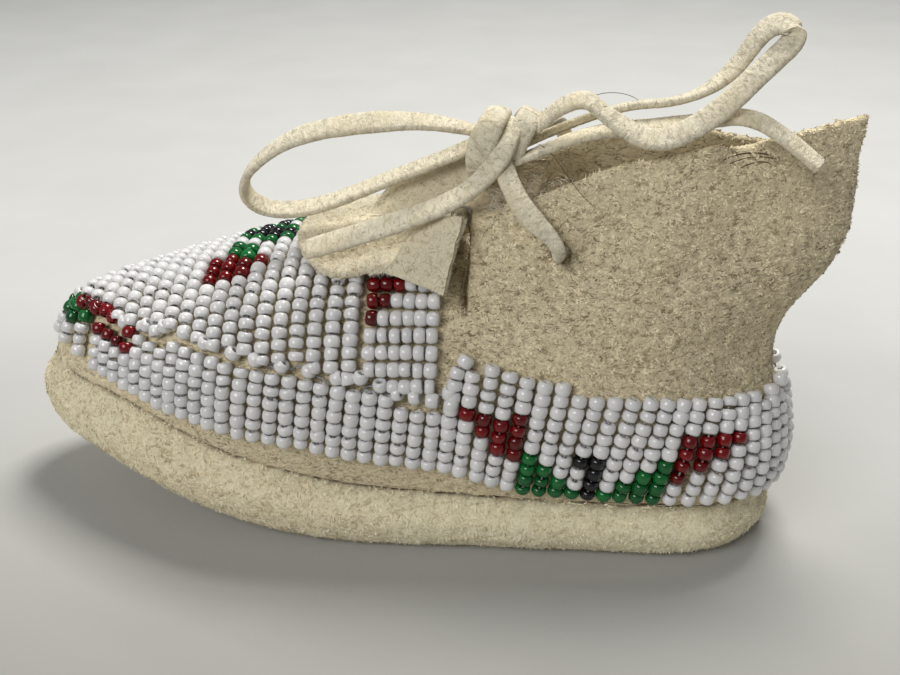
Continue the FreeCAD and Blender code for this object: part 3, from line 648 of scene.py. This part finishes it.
def make_sole():
    mesh = remeshed("sole", 0.52, 4)
    points = points_of(mesh)
    normal = normals_of(mesh)
    side = np.clip(points[:, 2] / MM / 2.0, 0, 1)
    swell = noise_at(points, 0.012, 4.0) * 0.30 + noise_at(points, 0.004, 7.0) * 0.14
    fine = noise_at(points, 0.0013) * 0.13 + noise_at(points, 0.0007, 8.0) * 0.06
    near_seam = np.exp(-(distances_to(SEAM, points) / (2.2 * MM)) ** 2)
    heading = np.arctan2(points[:, 1], points[:, 0] + 3 * MM)
    pucker = np.sin(heading * 74 + 3 * noise_at(points, 0.02)) * 0.16 * near_seam
    points += normal * ((swell + fine) * side + pucker)[:, None] * MM
    points += push(points, (-57.0, -2.0, 19.8), 6.5, (0.4, 0, 2.6))
    points[:, 2] = np.maximum(points[:, 2], 0.0)
    put_points(mesh, points)
    # Painted shade on the sole's lowest edge where it meets the floor, and in the seam crease.
    under = np.clip(1.0 - points[:, 2] / MM / 0.8, 0, 1) * 0.25
    store(mesh, "stain", np.clip(np.maximum(seam_crease_shade(points, 0.7), under), 0, 1))
    return place_mesh("sole_leather", mesh, "sole_hide", SHOE, ["sole"])


def make_tongue():
    mesh = remeshed("tongue", 0.26, 2)
    points = points_of(mesh)
    normal = normals_of(mesh)
    swell = noise_at(points, 0.006, 4.0) * 0.34 + noise_at(points, 0.0024, 7.0) * 0.13
    fine = noise_at(points, 0.0008) * 0.10 + noise_at(points, 0.0004, 8.0) * 0.05
    free = np.clip((7.0 - points[:, 0] / MM) / 6, 0, 1)
    points += normal * fine[:, None] * MM
    points[:, 2] += swell * free * MM
    points += push(points, (-2.0, -12.6, 44.0), 3.2, (0, 0.3, 0.7))
    points += push(points, (-9.0, -11.6, 41.5), 2.6, (0, 0.2, -0.2))
    put_points(mesh, points)
    # Painted shade at the tongue's root, where it goes into the throat slit.
    root = np.clip((points[:, 0] / MM - 6.6) / 1.6, 0, 1)
    stain = 0.5 * root * np.clip(0.5 + noise_at(points, 0.001), 0, 1)
    store(mesh, "stain", stain)
    return place_mesh("tongue_leather", mesh, "tongue_hide", FLAP, ["tongue"])


LEAF_COLUMNS = 40
LEAF_ROWS = 18
LEAF_THICKNESS = 1.3


def hide_leaf(name, rows, look, body, replaces, seed):
    """A leaf of hide through rows of points in millimetres, with ragged fuzzy edges."""
    rows = np.array(rows, float)
    down, along = rows.shape[:2]
    fine_u = np.linspace(0, along - 1, LEAF_COLUMNS)
    fine_v = np.linspace(0, down - 1, LEAF_ROWS)
    bent = np.stack([[np.interp(fine_u, range(along), row[:, axis]) for row in rows]
                     for axis in range(3)], axis=-1)
    grid = np.stack([[np.interp(fine_v, range(down), column[:, axis]) for column in bent.swapaxes(0, 1)]
                     for axis in range(3)], axis=-1)
    soft = np.pad(grid, ((1, 1), (1, 1), (0, 0)), "edge")
    grid = (soft[:-2, 1:-1] + soft[2:, 1:-1] + soft[1:-1, :-2] + soft[1:-1, 2:] + 2 * grid) / 6
    flat = grid.reshape(-1, 3) * MM
    flat += np.stack([noise_at(flat, 0.0024, seed + turn) for turn in (0, 5, 9)], axis=1) * 0.28 * MM
    grid = flat.reshape(LEAF_COLUMNS, LEAF_ROWS, 3)
    across = np.cross(np.gradient(grid, axis=0), np.gradient(grid, axis=1))
    shift = unit(across).reshape(-1, 3) * LEAF_THICKNESS * MM / 2
    count = LEAF_COLUMNS * LEAF_ROWS
    last_u, last_v = LEAF_COLUMNS - 1, LEAF_ROWS - 1
    vertices = np.concatenate([flat - shift, flat + shift])
    starts = [u * LEAF_ROWS + v for u in range(last_u) for v in range(last_v)]
    quads = [(start, start + 1, start + LEAF_ROWS + 1, start + LEAF_ROWS) for start in starts]
    border = [(0, v) for v in range(last_v)] + [(u, last_v) for u in range(last_u)]
    border += [(last_u, v) for v in range(last_v, 0, -1)] + [(u, 0) for u in range(last_u, 0, -1)]
    ring = [u * LEAF_ROWS + v for u, v in border]
    rim = [(ring[at], ring[at - 1], ring[at - 1] + count, ring[at] + count) for at in range(len(ring))]
    faces = [tuple(reversed(quad)) for quad in quads]
    faces += [tuple(index + count for index in quad) for quad in quads]
    leaf = add_piece(name, vertices, faces + rim, look, "upper_hide", body, replaces,
                     stain=np.zeros(2 * count))
    grow_nap(name + "_nap", leaf.data, 1500, 0.5, 0.08, "pale_fibre", "upper_hide", body, rise=0.35)


def make_leaves():
    """The tongue's far part standing up behind the tie, its near corner, and the throat behind them."""
    hide_leaf("tongue_back_leaf",
              [[(-5.5, -4.0, 45.4), (-1.0, -5.0, 46.6), (3.0, -4.4, 47.0),
                (6.5, -4.2, 46.8), (9.4, -4.0, 46.6)],
               [(-5.2, -2.6, 46.2), (-1.4, -3.8, 49.6), (2.6, -3.4, 51.6),
                (6.6, -3.6, 51.8), (9.8, -3.8, 51.6)],
               [(-4.8, -1.6, 46.4), (-1.6, -2.4, 51.0), (2.6, -2.2, 53.9),
                (6.9, -2.8, 55.2), (10.2, -3.4, 55.8)]],
              "tongue_hide", FLAP, ["tongue"], 3.0)
    hide_leaf("tongue_near_corner",
              [[(-2.0, -13.2, 41.6), (2.6, -14.6, 40.6), (6.6, -16.2, 40.0)],
               [(-0.5, -13.0, 43.6), (3.4, -14.4, 43.4), (7.2, -15.2, 43.0)],
               [(1.2, -12.2, 45.8), (4.8, -13.6, 46.6), (7.8, -14.8, 46.4)],
               [(2.6, -11.2, 47.6), (5.6, -12.2, 49.4), (8.9, -13.2, 49.8)]],
              "tongue_hide", FLAP, ["tongue"], 6.0)
    hide_leaf("throat_wall",
              [[(6.5, -7.5, 45.0), (12.0, -6.8, 45.5), (17.0, -5.0, 46.0)],
               [(7.5, -5.6, 49.0), (12.0, -4.6, 50.0), (17.5, -3.0, 50.0)],
               [(8.6, -3.6, 53.4), (12.0, -2.8, 54.2), (18.0, -1.0, 54.0)]],
              "upper_hide", SHOE, ["upper"], 9.0)


def hidden_by_beads(root):
    return distances_to(BEADS, root) < 1.0 * MM


def quarter_density(centre, normal):
    """Nap is wanted on the bare quarters and rims, little towards the toe or inside."""
    x, y, z = (centre / MM).T
    outside = (normal[:, 1] * np.sign(y) > 0.15) | (normal[:, 2] > 0.3) | (x > 52)
    weight = np.where(x > 3, 1.0, 0.25)
    weight = np.where(outside, weight, 0.10)
    rim = np.abs(normal[:, 2]) > 0.75
    return weight * np.where(rim & (z > 40) & (x > 8), 1.4, 1.0)


def sole_density(centre, normal):
    """Nap is wanted on the sole's outside, little on its flat underside or inside."""
    outward = (normal[:, :2] * centre[:, :2]).sum(axis=1) > 0
    flat = centre[:, 2] / MM < 0.15
    return np.where(outward | (normal[:, 2] < 0), 1.0, 0.05) * np.where(flat, 0.1, 1.0)


def make_nap(upper, sole, tongue):
    grow_nap("upper_nap", upper.data, 62000, 0.62, 0.24, "upper_fibre", "upper_hide",
             density=quarter_density, bare=hidden_by_beads, rise=0.13, lay=(0.7, 0, 0.1))
    grow_nap("sole_nap", sole.data, 38000, 0.62, 0.19, "sole_fibre", "sole_hide",
             density=sole_density, rise=0.22, lay=(0.2, 0, -0.3))
    grow_nap("tongue_nap", tongue.data, 9000, 0.55, 0.07, "pale_fibre", "upper_hide", FLAP, rise=0.4)


# ------------ the thong

def route_points(points):
    """Points along the smooth line through a thong's route, which is in millimetres."""
    curve = bpy.data.curves.new("route", "CURVE")
    curve.dimensions = "3D"
    curve.resolution_u = 24
    spline = curve.splines.new("NURBS")
    spline.points.add(len(points) - 1)
    for spot, point in zip(spline.points, points):
        spot.co = (point[0] * MM, point[1] * MM, point[2] * MM, 1)
    spline.order_u = 3
    spline.use_endpoint_u = True
    holder = bpy.data.objects.new("route", curve)
    bpy.context.scene.collection.objects.link(holder)
    graph = bpy.context.evaluated_depsgraph_get()
    line = bpy.data.meshes.new_from_object(holder.evaluated_get(graph))
    found = points_of(line)
    bpy.data.objects.remove(holder)
    bpy.data.meshes.remove(line)
    return found


def walk(line, step):
    """The line again in even steps, with the share of its length at each."""
    gaps = np.linalg.norm(np.diff(line, axis=0), axis=1)
    along = np.r_[0, np.cumsum(gaps)]
    keep = np.r_[True, gaps > 1e-9]
    line, along = line[keep], along[keep]
    count = max(8, int(along[-1] / step))
    even = np.linspace(0, along[-1], count)
    return np.stack([np.interp(even, along, line[:, axis]) for axis in range(3)], axis=1), even


SECTION_SIDES = 16
THONG_ROUGHNESS = 0.05


def make_strip(name, line, sides, widths, thick, seed, replaces=(), cup=0.0):
    """A flat thong along a line. Sides are (share, direction across the strip), widths are
    (share, millimetres)."""
    spots, along = walk(line, 0.3 * MM)
    share = along / along[-1]
    tangent = unit(np.gradient(spots, axis=0))
    stations = [station for station, direction in sides]
    directions = np.array([direction for station, direction in sides], float)
    across = np.stack([np.interp(share, stations, directions[:, axis]) for axis in range(3)], axis=1)
    across = unit(across - tangent * (across * tangent).sum(axis=1, keepdims=True))
    face = np.cross(tangent, across)
    width = np.interp(share, [station for station, size in widths], [size for station, size in widths])
    wander = noise_at(np.stack([along, along * 0 + seed, along * 0], axis=1), 0.0035)
    width = width * (1 + 0.06 * wander)
    turn = np.linspace(0, 2 * math.pi, SECTION_SIDES, endpoint=False)
    out = np.sign(np.cos(turn)) * np.abs(np.cos(turn)) ** 0.55
    rise = np.sign(np.sin(turn)) * np.abs(np.sin(turn)) ** 0.75
    lift = rise[None, :, None] * thick / 2 + cup * (out[None, :, None] ** 2 - 0.5)
    grid = (spots[:, None]
            + across[:, None] * (out[None, :, None] * width[:, None, None] / 2 * MM)
            + face[:, None] * (lift * MM))
    vertices = grid.reshape(-1, 3)
    centre = np.repeat(spots, SECTION_SIDES, axis=0)
    rough = noise_at(vertices, 0.0012, seed) * 0.7 + noise_at(vertices, 0.0005, seed + 9) * 0.5
    vertices = vertices + unit(vertices - centre) * (rough * THONG_ROUGHNESS * MM)[:, None]
    rows = len(spots)
    one = np.arange(rows - 1)[:, None] * SECTION_SIDES
    slot_index = np.arange(SECTION_SIDES)[None, :]
    following = (slot_index + 1) % SECTION_SIDES
    quads = np.stack([one + slot_index, one + SECTION_SIDES + slot_index, one + SECTION_SIDES + following,
                      one + following], axis=-1).reshape(-1, 4).tolist()
    quads.append(list(range(SECTION_SIDES)))
    quads.append([(rows - 1) * SECTION_SIDES + index for index in reversed(range(SECTION_SIDES))])
    piece = add_piece(name, vertices, quads, "thong_hide", "thong_hide", SHOE, replaces,
                      stain=np.zeros(len(vertices)))
    layer = piece.data.uv_layers.new(name="strip")
    loops = np.empty(len(piece.data.loops), np.int64)
    piece.data.loops.foreach_get("vertex_index", loops)
    u = np.repeat(along, SECTION_SIDES)[loops]
    half = SECTION_SIDES // 2 + 1
    v = np.tile(np.r_[out[:half], -out[half:] + 2.2], rows)[loops] * 0.0014
    layer.data.foreach_set("uv", np.stack([u + seed * 0.01, v], axis=1).ravel())
    return piece, spots


# The thong's three runs, from the knot outwards, in millimetres.
LEFT_THONG = [(12.2, -5.8, 58.4), (7.6, -7.2, 59.8), (2.0, -8.2, 60.8), (-7.0, -9.0, 60.2),
              (-15.6, -9.6, 58.0), (-22.6, -8.8, 51.6), (-20.4, -6.6, 46.8), (-13.0, -5.4, 47.0),
              (-3.0, -4.6, 51.4), (8.4, -5.0, 56.4), (13.0, -5.0, 59.6), (14.2, -7.4, 61.4),
              (13.8, -10.0, 58.6), (11.6, -10.7, 55.0), (7.6, -12.6, 51.8), (-1.5, -12.8, 47.8),
              (-12.6, -11.8, 43.6)]
RIGHT_THONG = [(16.8, -6.8, 60.0), (21.9, -8.0, 65.4), (26.4, -8.9, 62.0), (32.0, -9.3, 58.9),
               (38.8, -8.0, 62.4), (44.0, -6.2, 67.8), (48.8, -4.4, 72.4), (44.8, -2.8, 73.6),
               (41.0, -3.0, 66.6), (35.4, -4.0, 63.2), (27.5, -4.8, 62.8), (16.8, -4.6, 58.0),
               (12.4, -5.2, 55.6), (13.2, -7.6, 55.0), (16.6, -8.8, 57.0),
               (23.5, -7.4, 59.8), (31.4, -6.7, 60.7), (38.2, -5.6, 61.4),
               (43.4, -7.2, 62.8), (48.6, -9.0, 60.0), (52.0, -10.0, 57.4)]
# Inside the shoe, from the far hole to the heel. The near side mirrors it.
INNER_RUN = [(21.0, 14.0, 44.8), (21.0, 10.6, 44.8), (23.4, 9.3, 44.8), (28.0, 8.6, 45.2),
             (34.0, 7.8, 45.6), (42.0, 5.6, 46.4), (47.6, 2.8, 47.0)]
ANKLE_THONG = ([(12.9, -9.4, 56.4), (14.2, -11.6, 53.8), (16.6, -13.2, 50.6), (20.8, -14.4, 47.2)]
               + [(x, -y, z) for x, y, z in INNER_RUN] + INNER_RUN[::-1]
               + [(20.8, 14.6, 49.6), (19.4, 11.8, 56.4), (17.0, 4.0, 57.6), (14.6, -2.6, 57.0)])
KNOT_CENTRE = np.array([12.6, -6.4, 57.8])


def ring_line(centre, first, second, wobble, seed):
    """Points in metres round a wobbly ellipse, whose centre and two half axes are in millimetres."""
    turn = np.linspace(0.0, 1.0, 60) * 2 * math.pi
    line = np.array(centre) + np.cos(turn)[:, None] * np.array(first)
    line = line + np.sin(turn)[:, None] * np.array(second)
    sway = [np.sin(turn * 2 + seed), np.cos(turn * 3 + seed), np.sin(turn + seed)]
    line += wobble * np.stack(sway, axis=1)
    return line * MM


def make_thongs():
    """The bow's two strands, the run round the ankle, and the knot that holds them."""
    side_of_tail = (0.26, -0.86, -0.51)
    left, left_line = make_strip(
        "thong_left", route_points(LEFT_THONG),
        [(0, (0, -1, 0.15)), (0.15, (0, -0.75, -0.66)), (0.30, (0, -0.9, -0.3)), (0.5, (0, -0.9, -0.4)),
         (0.60, (0, -0.9, -0.4)), (0.69, (0.75, -0.6, 0)), (0.74, (0.85, -0.2, -0.3)), (0.80, side_of_tail),
         (1, side_of_tail)],
        [(0, 2.9), (0.1, 3.1), (0.3, 3.2), (0.55, 2.9), (0.72, 2.7), (0.85, 3.2), (0.97, 3.4), (1, 3.0)],
        1.15, 1.0, replaces=["lace_left_loop", "lace_left_tail"])
    right, right_line = make_strip(
        "thong_right", route_points(RIGHT_THONG),
        [(0, (0.2, -0.8, -0.4)), (0.10, (0, -0.75, -0.5)), (0.22, (0, -0.55, -0.85)),
         (0.32, (0.3, -0.75, -0.6)), (0.40, (0.4, -0.95, -0.1)), (0.45, (0.1, -1, 0.2)),
         (0.52, (0, -1, 0.2)), (0.62, (0, -0.9, 0.4)), (0.70, (0.2, -0.9, 0)), (0.78, (0, -0.9, -0.3)),
         (0.90, (0, -0.9, -0.45)), (1, (0.1, -0.85, -0.55))],
        [(0, 2.5), (0.12, 3.0), (0.4, 3.2), (0.62, 2.9), (0.7, 2.4), (0.85, 2.6), (1, 2.8)],
        1.15, 2.0, replaces=["lace_right_loop", "lace_right_tail"])
    ankle, ankle_line = make_strip(
        "thong_ankle", route_points(ANKLE_THONG),
        [(0, (-0.78, -0.35, -0.45)), (0.11, (-0.8, -0.2, -0.5)), (0.17, (-0.3, 0.1, -0.9)),
         (0.3, (0, 0.1, -1)), (0.6, (0, -0.1, -1)), (0.72, (-0.3, 0, -0.9)), (0.8, (-0.9, 0, -0.3)),
         (0.9, (-0.95, 0.1, 0.1)), (1, (-0.9, 0.2, 0.3))],
        [(0, 2.6), (0.085, 2.8), (0.12, 1.9), (0.15, 1.8), (0.2, 2.4), (0.75, 2.4), (0.8, 2.1), (0.9, 2.6),
         (1, 2.4)],
        1.1, 3.0, replaces=["lace_near_lead", "lace_inner_run", "lace_far_lead"])
    x, y, z = KNOT_CENTRE
    front = make_strip(
        "knot_front_wrap",
        ring_line((x - 1.5, y - 0.3, z - 0.2), (0.9, -0.3, 4.1), (-0.6, -3.1, 0.2), 0.22, 1.0),
        [(0, (1, 0, -0.1)), (0.3, (0.95, -0.2, 0.1)), (1, (1, 0, -0.1))],
        [(0, 3.2), (0.25, 3.7), (0.6, 3.2), (1, 3.2)],
        1.35, 4.0, replaces=["lace_knot"], cup=-0.12)[0]
    side = make_strip(
        "knot_side_wrap",
        ring_line((x + 2.2, y + 0.1, z + 0.9), (1.3, -0.4, 2.7), (-0.3, -2.7, -0.6), 0.12, 3.0),
        [(0, (0.9, 0.1, -0.45)), (0.3, (0.9, -0.1, -0.4)), (1, (0.9, 0.1, -0.45))],
        [(0, 3.0), (0.5, 3.3), (1, 3.0)],
        1.3, 5.0, cup=-0.12)[0]
    core = make_strip(
        "knot_core",
        ring_line((x + 0.2, y + 0.2, z), (0.3, 0.2, 2.0), (0.2, -1.2, 0.2), 0.1, 5.0),
        [(0, (1, 0, 0)), (1, (1, 0, 0))],
        [(0, 5.6), (1, 5.6)],
        2.4, 6.0)[0]
    for lace in (left, right, ankle):
        grow_nap(lace.name + "_nap", lace.data, 4200, 0.5, 0.07, "pale_fibre", "thong_hide", rise=0.5)
    for wrap in (front, side):
        grow_nap(wrap.name + "_nap", wrap.data, 700, 0.4, 0.06, "pale_fibre", "thong_hide", rise=0.5)


# ------------ threads and hairs

TUBE_SIDES = 5


def tube_cloud(name, lines, radii, look, slot):
    """Many thin tubes as one piece. Lines are point arrays in metres, radii in millimetres."""
    sides = TUBE_SIDES
    vertices, faces, tones = [], [], []
    for line, radius in zip(lines, radii):
        tangent = unit(np.gradient(line, axis=0))
        first = unit(np.cross(tangent, np.array([0.31, 0.52, 0.79])))
        second = np.cross(tangent, first)
        rows = len(line)
        taper = np.interp(np.linspace(0, 1, rows), [0, 0.08, 0.85, 1], [0.7, 1, 0.9, 0.35])
        turn = np.linspace(0, 2 * math.pi, sides, endpoint=False)
        ring = (line[:, None] + (first[:, None] * np.cos(turn)[None, :, None]
                + second[:, None] * np.sin(turn)[None, :, None]) * (radius * MM * taper)[:, None, None])
        start = sum(len(block) for block in vertices)
        vertices.append(ring.reshape(-1, 3))
        for row in range(rows - 1):
            for side in range(sides):
                after = (side + 1) % sides
                base = start + row * sides
                faces.append((base + side, base + after, base + sides + after, base + sides + side))
        faces.append(tuple(start + side for side in reversed(range(sides))))
        faces.append(tuple(start + (rows - 1) * sides + side for side in range(sides)))
        tones.append(np.full(rows * sides, rng.uniform(0.3, 1.0)))
    vertices = np.concatenate(vertices)
    add_piece(name, vertices, faces, look, slot, tone=np.concatenate(tones), stain=np.zeros(len(vertices)))


def hair(points, count=14):
    """A smooth line through a few points given in millimetres."""
    points = np.array(points, float)
    place = np.linspace(0, 1, len(points))
    share = np.linspace(0, 1, count)
    degree = min(3, len(points) - 1)
    fits = [np.polyfit(place, points[:, axis], degree) for axis in range(3)]
    return np.stack([np.polyval(fit, share) for fit in fits], axis=1) * MM


def make_threads():
    """Fluff in the throat and three stray hairs."""
    fluff = []
    for index in range(220):
        if index % 2:
            start = np.array([rng.uniform(10.5, 24), rng.uniform(-9, 8), rng.uniform(44, 51.5)])
        else:
            start = np.array([rng.uniform(11.5, 18), rng.uniform(-10.8, -8.8), rng.uniform(48.6, 52.2)])
        step = unit(rng.normal(0, 1, 3) * np.array([1, 0.8, 0.7]))
        bend = unit(rng.normal(0, 1, 3))
        long = rng.uniform(1.6, 4.6)
        bows = ((0, 0), (0.4, 0.7), (0.7, -0.3), (1, 0.9))
        fluff.append(hair([start + step * long * share + bend * bow for share, bow in bows]))
    tube_cloud("throat_fluff", fluff, rng.uniform(0.018, 0.034, len(fluff)), "pale_fibre", "upper_hide")
    hairs = [hair([(17.5, -9.0, 58.5), (20.0, -9.8, 56.6), (22.6, -11.0, 53.6), (25.6, -12.9, 51.6)], 20),
             hair([(22.5, -6.0, 62.6), (24.4, -5.0, 64.0), (27.4, -4.6, 64.2), (30.0, -4.8, 63.2)], 20),
             hair([(8.6, -8.0, 47.0), (9.2, -12.0, 44.0), (8.8, -14.6, 41.2), (8.9, -16.2, 37.0)], 20)]
    tube_cloud("stray_hairs", hairs, [0.055, 0.05, 0.06], "dark_hair", "sinew")


def skin_point(skin, x, z, lift):
    """The point of the shoe's near side at this x and z, in millimetres, lifted off the hide."""
    hit, normal = skin.ray_cast(Vector((x, -60, z)) * MM, Vector((0, 1, 0)))[:2]
    if hit is None:
        hit, normal = skin.find_nearest(Vector((x, -3, z)) * MM)[:2]
    return (hit + normal * lift * MM) / MM


# The bare gap between the band and the vamp: its height at each x, in millimetres.
GAP_LINE = [(-34, 30.0), (-26, 29.6), (-18, 28.9), (-10, 28.0), (-5, 27.2), (1, 26.4), (7, 26.0)]

# Beads that have turned on their thread in the gap: x, z and the bore's slant in radians.
TURNED = {
    "white": [(-40.4, 29.0, 1.2), (-36.6, 29.6, 0.9), (-33.4, 30.2, 1.3), (-29.8, 30.3, 0.4),
              (-26.4, 30.0, 1.1), (-22.2, 29.6, 0.8), (-18.8, 29.3, 0.2), (-15.2, 29.0, 0.9),
              (-11.4, 28.6, 0.1), (-7.6, 28.0, 0.5), (-4.4, 28.2, 1.4), (-1.9, 27.3, 1.5),
              (0.4, 26.4, 0.1), (2.8, 26.0, 0.1), (5.2, 25.6, 0.0), (7.4, 26.6, 1.5), (7.5, 24.9, 1.5)],
    "red": [(-49.8, 28.6, 1.0), (-47.9, 29.2, 1.1), (-46.4, 28.9, 1.0), (-44.6, 29.3, 1.0),
            (-43.0, 28.9, 1.1)],
    "green": [(-52.0, 29.0, 1.0), (-51.4, 30.6, 1.0)],
}


def make_stray_work(upper):
    """Loose thread and turned beads in the gap above the band, and dark lines that paint the shade of
    creases under the rim.
    """
    skin = BVHTree.FromPolygons([vertex.co for vertex in upper.data.vertices],
                                [tuple(face.vertices) for face in upper.data.polygons])
    glossy, black = [], []
    for _ in range(17):
        x = rng.uniform(-32, 7)
        middle = np.interp(x, [spot[0] for spot in GAP_LINE], [spot[1] for spot in GAP_LINE])
        z = middle + rng.uniform(-0.5, 0.7)
        run = rng.uniform(1.6, 4.2)
        slope = rng.normal(0, 0.20)
        stops = [(x + run * share, z + run * share * slope + bow) for share, bow in
                 ((0, -0.3), (0.33, 0.2), (0.66, -0.1), (1, 0.35))]
        lifts = (0.45, 0.95, 0.95, 0.45)
        glossy.append(hair([skin_point(skin, *stop, lift) for stop, lift in zip(stops, lifts)], 12))
    for x, z, dx, dz in ((-22.5, 41.6, 1.8, 0.9), (-20.6, 43.2, 1.6, -0.7), (-36.2, 32.6, 1.2, 0.6)):
        start = skin_point(skin, x, z, 1.6)
        bend = start + Vector((dx * 0.5, -0.5, dz))
        black.append(hair([start, bend, start + Vector((dx, -0.4, dz * 0.4))], 8))
    for colour, places in TURNED.items():
        spots = []
        for x, z, slant in places:
            centre = np.array(skin_point(skin, x, z, 1.2)) * MM
            spots.append((centre, (math.cos(slant), 0.0, math.sin(slant))))
        bead_cloud("turned_beads_" + colour, spots, colour, ["band_beads_" + colour])
    # Painted shade: dark lines laid on the hide stand for the shade in the rim's creases.
    crease_shade_lines = []
    for start_x, end_x, z in ((40.6, 46.8, 57.3), (41.6, 47.6, 56.8), (43.0, 47.0, 56.2)):
        stops = [(start_x + (end_x - start_x) * share, z + bow) for share, bow in
                 ((0, -0.5), (0.35, 0.0), (0.7, 0.1), (1, -0.3))]
        crease_shade_lines.append(hair([skin_point(skin, *stop, 0.02) for stop in stops], 14))
    tube_cloud("rim_crease_shade", crease_shade_lines, [0.11, 0.09, 0.08], "sinew", "sinew")
    tube_cloud("loose_threads", glossy, [0.13] * len(glossy), "loose_thread", "bead_thread")
    tube_cloud("thread_ends", black, [0.11] * len(black), "black_thread", "bead_thread")


PLAIN_NODES = {"sole_seam_thread": "sinew", "tongue_stitches": "bead_thread",
               "band_thread": "bead_thread", "instep_thread": "bead_thread", "vamp_thread": "bead_thread"}


def make_back_nicks():
    """The back seam's stitches, drawn down into the raw edge so that only dark nicks show."""
    source = NODES["back_seam_stitches"].data
    points = points_of(source) + np.array([-1.2, 0, 0.25]) * MM
    faces = [tuple(face.vertices) for face in source.polygons]
    add_piece("back_nicks", points, faces, "sinew", "sinew", SHOE, ["back_seam_stitches"])


def finish_nodes():
    """The CAD nodes that stay as they are get their materials."""
    for node, look in PLAIN_NODES.items():
        thing = NODES[node]
        if not thing.data.materials:
            thing.data.materials.append(LOOKS[look])
        for slot in thing.material_slots:
            slot.material = LOOKS[look]


make_camera()
make_light()
make_floor()
make_thongs()
upper_piece = make_upper()
sole_piece = make_sole()
tongue_piece = make_tongue()
make_nap(upper_piece, sole_piece, tongue_piece)
make_leaves()
for area, colours in {"band": ("black", "green", "red", "white"), "instep": ("green", "red", "white"),
                      "vamp": ("black", "green", "red", "white")}.items():
    for colour in colours:
        make_beads(area, colour)
make_threads()
make_stray_work(upper_piece)
make_back_nicks()
finish_nodes()
